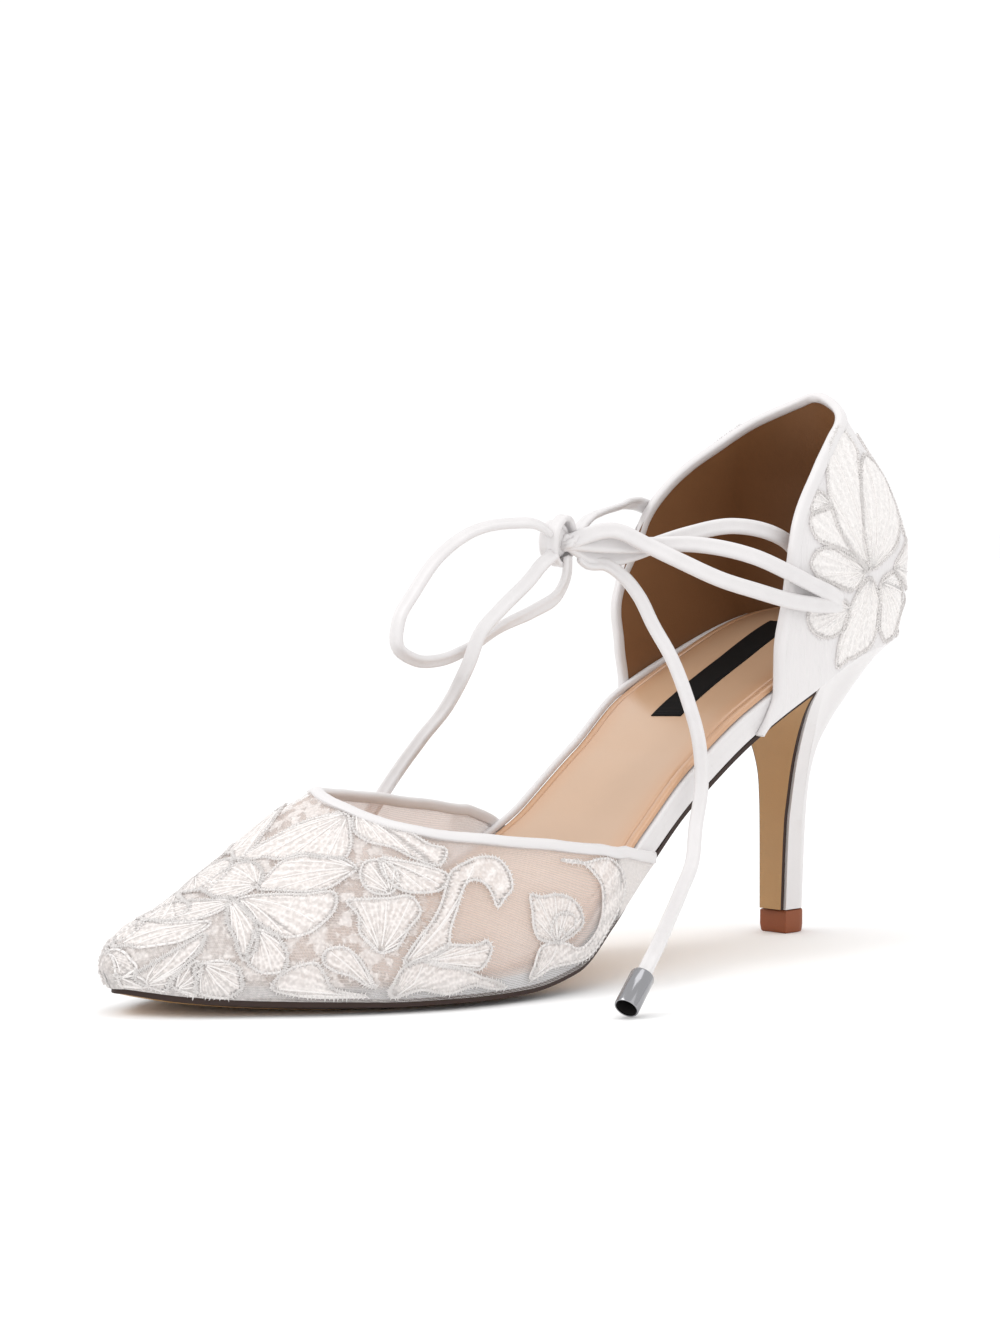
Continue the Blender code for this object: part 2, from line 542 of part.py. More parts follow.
def outsole_rows():
    """Pairs of inner and outer places of the sole strip, as reach and height, with its half widths and middle.

    The strip runs back from the toe under the foot, turns at the breast and runs down the front of the heel.
    """
    seat = seat_ring(RING_COUNT)
    tip = tip_outline(RING_COUNT, 0.0, TOP_PIECE_HEIGHT + CLEARANCE)
    corner_reach = BREAST_REACH + CLEARANCE
    reach = stations(corner_reach + 0.004, TOE_REACH + SOLE_EDGE, 30, 0.0, TOE_ROUND)[::-1]
    forward = np.clip((reach - corner_reach) / WAIST_LENGTH, 0, 1)
    grow = (SOLE_EDGE + WAIST_INSET) * forward * forward * (3 - 2 * forward) - WAIST_INSET
    inner = np.stack([reach, layer(reach, SOLE_THICKNESS)], -1)
    outer = np.stack([reach, underside(reach)], -1)
    half = half_width(reach, grow)
    centre = middle(reach)
    breast = []
    for up in BREAST_LEVELS:
        ring = heel_ring(up, seat, tip)
        breast.append((-ring[0, 1], ring[0, 2], (ring[0, 0] - ring[-1, 0]) / 2, (ring[0, 0] + ring[-1, 0]) / 2))
    breast = np.array(breast)
    run = np.gradient(breast[:, :2], axis=0)
    run = run / np.linalg.norm(run, axis=1, keepdims=True)
    ahead = np.stack([-run[:, 1], run[:, 0]], -1)
    flap_inner = breast[:, :2] + ahead * CLEARANCE
    flap_outer = flap_inner + ahead * FLAP_THICKNESS
    corner_inner = np.array([corner_reach, float(layer(np.array(corner_reach), SOLE_THICKNESS))])
    shank = np.array([1.0, float(underside(corner_reach + 0.001) - underside(corner_reach)) / 0.001])
    down = np.array([shank[1], -1.0]) / np.linalg.norm(shank)
    mitre = down + ahead[0]
    mitre = mitre / np.linalg.norm(mitre)
    corner_outer = corner_inner + mitre * SOLE_THICKNESS / float(mitre @ down)
    seat_half = (seat[0, 0] - seat[-1, 0]) / 2
    inner = np.concatenate([inner, [corner_inner], flap_inner])
    outer = np.concatenate([outer, [corner_outer], flap_outer])
    half = np.concatenate([half, [seat_half - WAIST_INSET], breast[:, 2] - FLAP_INSET])
    centre = np.concatenate([centre, [(seat[0, 0] + seat[-1, 0]) / 2], breast[:, 3]])
    return inner, outer, half, centre


def build_outsole(finish):
    """Outsole: one thin strip from the toe to the breast and down the front of the heel."""
    inner, outer, half, centre = outsole_rows()
    share = np.array(SOLE_PLACES)
    x = centre[:, None] + half[:, None] * share
    begin = np.clip((outer[:, :1] - CAMBER_START) / CAMBER_LENGTH, 0, 1)
    bulge = np.minimum(SOLE_CAMBER * begin * half[:, None] / half.max(), outer[:, 1:])
    edge = np.clip(2 * np.abs(share) - 1, 0, 1) ** 2
    heights = (np.broadcast_to(inner[:, 1:], x.shape), outer[:, 1:] - bulge * (1 - edge))
    grids = [np.stack([x, np.broadcast_to(-side[:, :1], x.shape), z], -1) for side, z in zip((inner, outer), heights)]
    return shell("outsole", grids[0], grids[1], finish)


def placed(point):
    """Metres, with the toe along -Y, from millimetres of x, reach and height."""
    return np.array([point[0], -point[1], point[2]]) * MILLIMETRE


def at_knot(toward):
    """Where a cord that comes from a point stops, square to its own run, just clear of the knot."""
    size = np.array(KNOT_SIZE) * MILLIMETRE
    way = toward - placed(KNOT_MIDDLE)
    surface = way / np.linalg.norm(way / size)
    normal = surface / size ** 2
    normal = normal / np.linalg.norm(normal)
    way = way / np.linalg.norm(way)
    slant = normal @ way
    stand_off = (CLEARANCE + LACE_WIDTH / 2 * math.sqrt(1 - slant ** 2)) / slant
    return placed(KNOT_MIDDLE) + surface + way * stand_off


def key_points(route, knot_first=False, knot_last=False, metal_end=None):
    """A route's points in metres, carried on to the knot and to the cord's metal end."""
    key = [placed(point) for point in route]
    if knot_first:
        key.insert(0, at_knot(key[0]))
    if knot_last:
        key.append(at_knot(key[-1]))
    if metal_end:
        start, end = placed(metal_end[0]), placed(metal_end[1])
        key.append(start - (end - start) / np.linalg.norm(end - start) * CLEARANCE)
    return np.array(key)


def route_curve(key, spacing):
    """Points a given spacing apart on a smooth curve through a route's points, with one close to each end."""
    knots = np.concatenate([[0], np.cumsum(np.linalg.norm(np.diff(key, axis=0), axis=1))])
    fine = np.linspace(0, knots[-1], 400)
    dense = catmull_rom(knots, key, fine)
    length = np.concatenate([[0], np.cumsum(np.linalg.norm(np.diff(dense, axis=0), axis=1))])
    even = np.linspace(0, length[-1], max(4, round(length[-1] / spacing) + 1))
    near_end = LACE_WIDTH / 2
    even = np.concatenate([[0, near_end], even[1:-1], [length[-1] - near_end, length[-1]]])
    return np.stack([np.interp(even, length, dense[:, k]) for k in range(3)], -1)


def catmull_rom(knots, key, at):
    """A smooth curve through the points key, whose distances along it are knots, read at the distances at."""
    tangent = np.gradient(key, knots, axis=0)
    i = np.clip(np.searchsorted(knots, at, side="right") - 1, 0, len(knots) - 2)
    span = (knots[i + 1] - knots[i])[:, None]
    t = (at - knots[i])[:, None] / span
    return (key[i] * (1 + 2 * t) * (1 - t) ** 2 + span * tangent[i] * t * (1 - t) ** 2
            + key[i + 1] * t * t * (3 - 2 * t) + span * tangent[i + 1] * t * t * (t - 1))


def build_cord(name, key, finish, spacing=2.2):
    """A round cord through key points, as a bevelled curve with filled ends and a point every few widths."""
    points = route_curve(key, spacing * LACE_WIDTH)
    curve = bpy.data.curves.new(name, "CURVE")
    curve.dimensions = "3D"
    curve.bevel_depth = LACE_WIDTH / 2
    curve.bevel_resolution = 2
    curve.use_fill_caps = True
    spline = curve.splines.new("POLY")
    spline.points.add(len(points) - 1)
    for target, point in zip(spline.points, points):
        target.co = (*point, 1)
    return add_object(name, curve, finish)


def build_strands(name, routes, finish):
    """Strands that share a lace hole and the knot, joined into one solid."""
    parts = []
    for number, route in enumerate(routes):
        cord = build_cord(f"{name}_strand_{number}", key_points(route, knot_last=True), finish, 0.8)
        mesh = bpy.data.meshes.new_from_object(cord.evaluated_get(bpy.context.evaluated_depsgraph_get()))
        bpy.data.objects.remove(cord)
        parts.append(add_object(name if number == 0 else f"{name}_cutter_{number}", mesh, finish))
    for other in parts[1:]:
        union = parts[0].modifiers.new(other.name, "BOOLEAN")
        union.operation = "UNION"
        union.object = other
        other.hide_render = True


def build_knot(finish):
    """The knot, as one rounded lump."""
    work = bmesh.new()
    bmesh.ops.create_icosphere(work, subdivisions=3, radius=1.0)
    mesh = bpy.data.meshes.new("lace_knot")
    bmesh.ops.scale(work, vec=[size * MILLIMETRE for size in KNOT_SIZE], verts=work.verts)
    bmesh.ops.translate(work, vec=placed(KNOT_MIDDLE), verts=work.verts)
    work.to_mesh(mesh)
    work.free()
    mesh.shade_smooth()
    return add_object("lace_knot", mesh, finish)


def build_end(name, line, finish):
    """A metal tube on an end of the lace, with a blind bore at its open end."""
    start, end = placed(line[0]), placed(line[1])
    axis = (end - start) / np.linalg.norm(end - start)
    side = np.cross(axis, [0, 0, 1.0])
    side = side / np.linalg.norm(side)
    over = np.cross(axis, side)
    outer = END_WIDTH / 2
    bore = outer - END_WALL
    profile = ((0.0, 0.0), (outer, 0.0), (outer, END_LENGTH), (bore, END_LENGTH), (bore, END_LENGTH - END_BORE),
               (0.0, END_LENGTH - END_BORE))
    turn = np.linspace(0, 2 * math.pi, 17)[:-1]
    ring = np.cos(turn)[:, None] * side + np.sin(turn)[:, None] * over
    points = np.concatenate([start + axis * along + ring * radius for radius, along in profile])
    faces = []
    for level in range(len(profile) - 1):
        for k in range(16):
            a, b = level * 16 + k, level * 16 + (k + 1) % 16
            faces.append((a, b, b + 16, a + 16))
    return solid_from(name, points, faces, finish)


def cut_lace_holes(counter):
    """Cuts the lace hole through both sides of the counter."""
    work = bmesh.new()
    bmesh.ops.create_cone(work, cap_ends=True, segments=16, radius1=HOLE_WIDTH / 2, radius2=HOLE_WIDTH / 2,
                          depth=HOLE_CUTTER_LENGTH)
    mesh = bpy.data.meshes.new("lace_hole_cutter")
    work.to_mesh(mesh)
    work.free()
    cutter = bpy.data.objects.new("lace_hole_cutter", mesh)
    bpy.context.scene.collection.objects.link(cutter)
    cutter.rotation_euler = (0, math.pi / 2, 0)
    cutter.location = (0, -HOLE_REACH, HOLE_HEIGHT)
    cutter.hide_render = True
    cut = counter.modifiers.new("lace_holes", "BOOLEAN")
    cut.operation = "DIFFERENCE"
    cut.object = cutter


def clear_scene():
    """Removes the objects that the file starts with."""
    for old in list(bpy.data.objects):
        bpy.data.objects.remove(old)


def main():
    """Builds every piece of the shoe."""
    clear_scene()
    satin = material("white_satin", (0.82, 0.81, 0.80), 0.42)
    lace = material("white_lace", (0.84, 0.82, 0.80), 0.75)
    sock = material("tan_lining", (0.62, 0.40, 0.26), 0.45)
    leather = material("tan_sole_leather", (0.42, 0.26, 0.12), 0.45)
    block = material("brown_top_piece", (0.24, 0.075, 0.03), 0.5)
    metal = material("chrome_lace_end", (0.75, 0.75, 0.76), 0.15, 1.0)

    reach = stations(-SEAT_OVERHANG, TOE_REACH, 26, SEAT_ROUND, TOE_ROUND)
    slab("insole_board", reach, 0.0, BOARD_LOW, board_top(reach), satin)
    inset_reach = stations(-SEAT_OVERHANG + SOCK_INSET, TOE_REACH - SOCK_INSET, 26,
                           SEAT_ROUND - SOCK_INSET, TOE_ROUND - SOCK_INSET)
    sock_low = board_top(inset_reach) + CLEARANCE
    slab("sock_lining", inset_reach, -SOCK_INSET, sock_low, sock_low + SOCK_THICKNESS, sock)
    build_outsole(leather)
    build_heel(satin)
    build_top_piece(block)
    cut_lace_holes(build_counter(satin))
    build_vamp(lace)

    build_strands("lace_near", (NEAR_LOW, NEAR_HIGH, NEAR_INNER), satin)
    build_strands("lace_far", (FAR_HIGH, FAR_LOW), satin)
    build_knot(satin)
    build_cord("lace_loop", key_points(LOOP, knot_first=True, knot_last=True), satin, 1.8)
    build_cord("lace_tail_near", key_points(NEAR_TAIL, knot_first=True, metal_end=NEAR_END), satin)
    build_cord("lace_tail_far", key_points(FAR_TAIL, knot_first=True, metal_end=FAR_END), satin)
    build_end("lace_end_near", NEAR_END, metal)
    build_end("lace_end_far", FAR_END, metal)


main()
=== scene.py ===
"""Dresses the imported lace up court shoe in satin, embroidered net, leather and cord.

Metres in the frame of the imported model: the toe along -Y, the outer side of the foot +X, +Z up.
Places along the foot are given by their reach, the distance forward of the origin.
"""
import math

import bmesh
import bpy
import mathutils
import numpy as np
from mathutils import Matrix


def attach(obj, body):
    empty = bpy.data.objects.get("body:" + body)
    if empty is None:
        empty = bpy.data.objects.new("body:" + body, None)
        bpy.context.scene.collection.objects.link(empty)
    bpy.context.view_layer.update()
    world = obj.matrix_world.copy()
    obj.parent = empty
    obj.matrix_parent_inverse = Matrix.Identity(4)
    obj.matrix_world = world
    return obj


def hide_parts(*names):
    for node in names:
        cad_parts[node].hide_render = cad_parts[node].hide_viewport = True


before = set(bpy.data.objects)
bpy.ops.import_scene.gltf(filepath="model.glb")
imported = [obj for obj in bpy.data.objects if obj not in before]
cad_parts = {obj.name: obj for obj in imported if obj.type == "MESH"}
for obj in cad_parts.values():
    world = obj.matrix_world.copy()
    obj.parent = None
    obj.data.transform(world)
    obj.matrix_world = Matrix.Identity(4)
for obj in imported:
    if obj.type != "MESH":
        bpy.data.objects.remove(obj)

bl_info = {
    "name": "Lace up court shoe",
    "version": (1, 0, 0),
    "blender": (4, 5, 0),
    "location": "3D View > Sidebar > Shoe",
    "description": "Dresses the packed court shoe in satin, embroidered net, leather and cord",
    "category": "Object",
}

MM = 0.001
MERGE_GAP = 2e-6  # points closer than this become one

# Sizes of the solids that the dressed surfaces follow
TOE_REACH = 0.2148
SEAT_OVERHANG = 0.029
SEAT_HEIGHT = 0.0765
BALL_LATERAL = 0.0390
BALL_MEDIAL = 0.0354
SEAT_ROUND = 0.022
TOE_ROUND = 0.0088
CLEARANCE = 0.0003
SOLE_THICKNESS = 0.0018
SOLE_EDGE = 0.0009
WAIST_INSET = 0.0008
SOLE_CAMBER = 0.0024
CAMBER_START = 0.0850
CAMBER_LENGTH = 0.0350
WAIST_LENGTH = 0.0900
BOARD_THICKNESS = 0.0058
SOCK_THICKNESS = 0.0012
COUNTER_WALL = 0.0016
VAMP_WALL = 0.0012
SOCK_INSET = 0.0011
BOARD_SIDE_GAP = 0.0004
COUNTER_TOP = 0.1410
COUNTER_REACH = 0.0395
COUNTER_SHOULDER = 0.0300
SHOULDER_HEIGHT = 0.1020
FORM_EASE = 0.5
LEAN_POWER = 1.5
VAMP_CORNER = 0.0800
VAMP_TAPER = 0.0140
CORNER_RIM = 0.3
VAMP_HEIGHT = 0.0475
TIP_WIDTH = 0.0086
TIP_DEPTH = 0.0090
TOP_PIECE_HEIGHT = 0.0060
BREAST_REACH = 0.0165
FLAP_THICKNESS = 0.0010
FLAP_INSET = 0.0006
HOLE_REACH = 0.0130
HOLE_HEIGHT = 0.0876
END_WIDTH = 0.0058
END_LENGTH = 0.0105
BOARD_LENGTH = TOE_REACH + SEAT_OVERHANG
BOARD_LOW = SOLE_THICKNESS + CLEARANCE

# What the dressed pieces add to them
NOSE = 0.0024  # how far the toe's front leans out past its lasted edge
NOSE_LENGTH = 0.024  # stretch before the toe over which it leans out
EMBROIDERY_MARGIN = 0.0009  # plain satin left under the petals along the counter's lower edge
ROLL_WIDTH = 0.0019  # roll of the board's cover along the inner side of the sock
ROLL_INSET = 0.0007  # its middle against the board's edge
ROLL_RISE = 0.0019  # and above the board's upper face
ROLL_DROP = 0.0017  # how far it has sunk where it ends inside the counter
COVER_TUCK = 0.0008  # how far the board's cover comes down over the sole's edge in the waist
SEAT_LIFT = 0.0003  # closes the seam between the heel's cover and the counter
WING_LINING = 0.0985  # reach at which the satin lining in the ends of the vamp's wings stops
INNER_WING = 0.35  # how much of that lining shows on the inner side, where light comes through it
LINING_DEPTH = 0.35  # share of the vamp's wall, from inside, at which the inner net lies
SOCK_LINE = 0.0026  # distance of the sock's embossed line from its edge
SOCK_ROUND = 0.0011  # width of the sock's rounded edge
LABEL_FRONT = (0.0013, 0.0475)  # x and reach of the middle of the label's front end
LABEL_WAY = (-0.0036, -0.0475)  # direction from there to its rear end
RIM_SPAN = 20  # degrees given to the upright rim past each side of the vamp's arch
RIM_DROP = 0.0009  # how far the lasted edge of the vamp comes down over the sole's edge

# Sections of the last: share of the board's length, rise, outer and inner width, board thickness
LAST = np.array([
    (0.000, 1.000, 0.572, 0.630, 1.00), (0.090, 0.952, 0.572, 0.630, 1.00),
    (0.201, 0.815, 0.620, 0.655, 1.00), (0.283, 0.690, 0.626, 0.644, 1.00),
    (0.365, 0.517, 0.618, 0.560, 1.00), (0.447, 0.332, 0.682, 0.551, 1.00),
    (0.529, 0.175, 0.836, 0.706, 0.92), (0.603, 0.060, 0.969, 0.881, 0.78),
    (0.673, 0.024, 1.000, 0.989, 0.66), (0.734, 0.019, 0.956, 1.000, 0.58),
    (0.796, 0.019, 0.833, 0.955, 0.55), (0.857, 0.026, 0.626, 0.847, 0.55),
    (0.919, 0.034, 0.323, 0.686, 0.55), (0.968, 0.048, 0.040, 0.537, 0.55),
    (1.000, 0.066, -0.180, 0.446, 0.55)])
RISE, LATERAL, MEDIAL, BOARD = 1, 2, 3, 4

# Ridge of the vamp: share of the board's length, share of VAMP_HEIGHT, exponent of the arch
RIDGE = np.array([
    (0.440, 1.700, 1.85), (0.575, 1.400, 1.80), (0.701, 1.160, 1.75), (0.790, 0.985, 1.80),
    (0.875, 0.710, 1.95), (0.940, 0.500, 2.10), (0.975, 0.430, 2.20), (1.010, 0.385, 2.20)])
RIDGE_HEIGHT, ARCH_POWER = 1, 2

# Top line of the vamp: place across in degrees from the outer to the inner side, reach in mm
VAMP_TOP = np.array([
    (0, 80.0), (5, 87.7), (10, 95.1), (20, 106.0), (30, 118.4), (40, 135.7), (50, 151.3), (60, 159.2),
    (70, 162.2), (80, 163.0), (90, 162.0), (100, 159.0), (110, 155.1), (120, 146.8), (130, 134.7),
    (140, 120.1), (150, 107.9), (160, 97.2), (170, 86.0), (180, 80.0)])

# Counter: share of its height, width against the seat, forward lean of its back
COUNTER_FORM = np.array([
    (-0.40, 1.00, 0.000), (0.00, 1.00, 0.000), (0.20, 1.10, -0.025), (0.36, 1.12, -0.030),
    (0.46, 1.09, 0.000), (0.64, 0.95, 0.075), (0.80, 0.72, 0.180), (1.00, 0.40, 0.300)])
WIDENING, LEAN = 1, 2

# Top line: share of the way from the back to the shoulder, share of the drop
TOP_LINE = np.array([
    (0.00, 0.00), (0.06, 0.003), (0.18, 0.04), (0.36, 0.125), (0.53, 0.235), (0.64, 0.33), (0.77, 0.46),
    (0.90, 0.66), (0.97, 0.84), (1.00, 1.00)])

# Front edges: share of their height, shares of the way back on the outer and the inner side
FRONT_EDGE = np.array([
    (0.00, 0.00, 0.00), (0.08, 0.32, 0.18), (0.22, 0.66, 0.22), (0.42, 0.68, 0.06), (0.58, 0.73, 0.00),
    (0.79, 0.84, 0.30), (1.00, 1.00, 1.00)])

# Flare of the heel: share of its height, then how far the back, the sides and the front have opened
FLARE = np.array([
    (0.00, 0.00, 0.00, 0.00), (0.39, 0.06, 0.03, -0.04), (0.49, 0.10, 0.055, -0.07),
    (0.59, 0.18, 0.09, -0.09), (0.69, 0.33, 0.16, -0.07), (0.79, 0.53, 0.28, 0.02), (0.87, 0.69, 0.44, 0.20),
    (0.94, 0.84, 0.67, 0.50), (1.00, 1.00, 1.00, 1.00)])

# Routes of the lace in millimetres: x, reach and height
NEAR_LOW = (
    (26.6, 13.0, 87.6), (29.2, 13.1, 87.5), (30.4, 15.6, 87.4), (30.5, 24.0, 87.7), (30.4, 33.0, 88.9),
    (27.8, 43.0, 91.6), (23.6, 51.4, 94.5), (17.0, 59.4, 99.2), (11.0, 64.9, 103.1), (6.5, 70.5, 106.5))
NEAR_HIGH = (
    (26.6, 13.0, 87.6), (29.2, 13.1, 87.8), (30.6, 16.0, 89.2), (30.8, 26.0, 93.0), (30.4, 33.0, 95.7),
    (26.0, 41.5, 99.9), (20.5, 47.5, 102.1), (14.5, 54.5, 103.2), (9.8, 60.5, 103.0), (5.5, 68.0, 102.9))
NEAR_INNER = (
    (28.0, 13.0, 87.6), (25.0, 13.1, 87.8), (23.6, 15.0, 90.4), (21.6, 25.2, 103.6), (16.0, 38.4, 107.4),
    (10.5, 49.5, 105.4), (8.4, 57.5, 103.3), (4.5, 64.5, 100.6), (2.5, 70.0, 99.4))
FAR_HIGH = (
    (-25.6, 13.0, 87.6), (-28.6, 13.0, 87.8), (-30.0, 13.4, 90.4), (-29.9, 15.0, 102.0),
    (-29.1, 18.5, 109.4), (-28.4, 25.0, 111.8), (-25.0, 33.0, 112.4), (-17.0, 46.3, 111.7),
    (-8.0, 63.0, 110.4), (-3.0, 71.8, 109.2))
FAR_LOW = (
    (-25.6, 13.0, 87.6), (-28.6, 13.1, 87.7), (-30.2, 16.0, 89.8), (-30.4, 22.0, 98.0), (-30.9, 27.5, 102.8),
    (-30.0, 33.5, 105.0), (-23.0, 43.0, 105.8), (-12.0, 56.0, 105.6), (-4.0, 70.5, 104.1))
LOOP = (
    (-1.0, 92.2, 108.6), (-3.0, 97.5, 108.8), (-5.0, 108.2, 107.3), (-6.5, 118.7, 101.5),
    (-7.0, 126.9, 92.9), (-7.0, 132.0, 86.2), (-6.5, 132.9, 80.0), (-6.0, 127.5, 76.6), (-5.5, 119.7, 76.3),
    (-5.0, 111.3, 78.6), (-4.0, 99.8, 84.0), (-2.5, 90.5, 87.4), (-0.8, 84.6, 90.8), (0.4, 82.6, 95.4))
FAR_TAIL = (
    (1.0, 91.0, 99.2), (0.8, 95.8, 95.0), (0.6, 105.3, 88.3), (0.5, 112.3, 82.5), (-0.6, 115.0, 75.5),
    (-7.5, 115.6, 65.0), (-18.0, 114.6, 56.0), (-27.5, 115.0, 46.0), (-35.5, 117.5, 34.0),
    (-41.0, 122.0, 20.0), (-44.5, 128.0, 9.5), (-46.8, 134.6, 4.6))
NEAR_TAIL = (
    (1.5, 76.5, 98.8), (3.2, 71.5, 98.2), (5.8, 67.4, 94.9), (8.6, 65.6, 90.8), (13.0, 64.9, 83.6),
    (19.0, 64.3, 75.2), (24.0, 64.0, 65.3), (27.4, 63.8, 56.0), (29.6, 65.0, 45.4), (33.5, 71.4, 34.9),
    (38.5, 77.8, 28.4), (46.0, 90.0, 22.4), (57.0, 106.5, 17.4), (66.5, 120.6, 13.4), (69.8, 126.2, 11.4))
NEAR_END = ((71.2, 129.8, 8.9), (73.3, 137.3, 2.7))
FAR_END = ((-47.8, 140.4, 4.0), (-49.5, 150.5, 3.2))
KNOT_MIDDLE = (1.0, 82.3, 103.8)
KNOT_SIZE = (5.2, 8.6, 6.2)
KNOT_SINK = 0.0035  # how far each cord's end is carried into the knot's turns
STRAND_SINK = 0.0112  # the same for the strands, which pass through the front turn
KNOT_CORE = (2.4, 3.2, 4.2)  # radii of the soft core behind the knot's turns, in mm
KNOT_CORE_SHIFT = (-2.6, -1.9, 0.2)  # and its place against the knot's middle
SOLID_CORD_RADIUS = 0.0016
CORD_STEP = 0.0011  # distance between a cord's rings
CORD_SIDES = 20
CORD_GROOVE = 0.4  # how far the pressed cord's middle is lowered
STRAND_SPREAD = 1.18  # the strands lie flatter, and so wider, than the tails

# The photograph's size, and the camera fitted to it: degrees, metres and the photograph's own points
PHOTO_WIDTH, PHOTO_HEIGHT = 1000, 1333
CAMERA_TURN = 45.02
CAMERA_RISE = 4.467
CAMERA_DISTANCE = 0.92794
CAMERA_AIM = (0, -0.095, 0.060)
FOCAL_LENGTH = 3798.0
PRINCIPAL_POINT = (529.32, 723.29)
SENSOR = 36.0

# Cords of the embroidery, in metres where nothing else is said
OUTLINE_STEP = 0.4  # mm between the points of an outline
DEGREE_WIDTH = 0.62  # mm that a degree across the vamp takes up
LAST_MOTIF_REACH = 215.2  # mm, where the toe's outlines stop short of its edge
RIB_START, RIB_END = 0.12, 0.94
FAN_RADIUS = 7  # mm from a petal's foot at which its rows of stitches are as far apart as drawn
FILL_EDGE = 0.6  # mm over which the fill rises inside an outline
STITCH_STEP = 0.0008
STITCH_HALF = 0.00016
STITCH_LEAN = 0.35

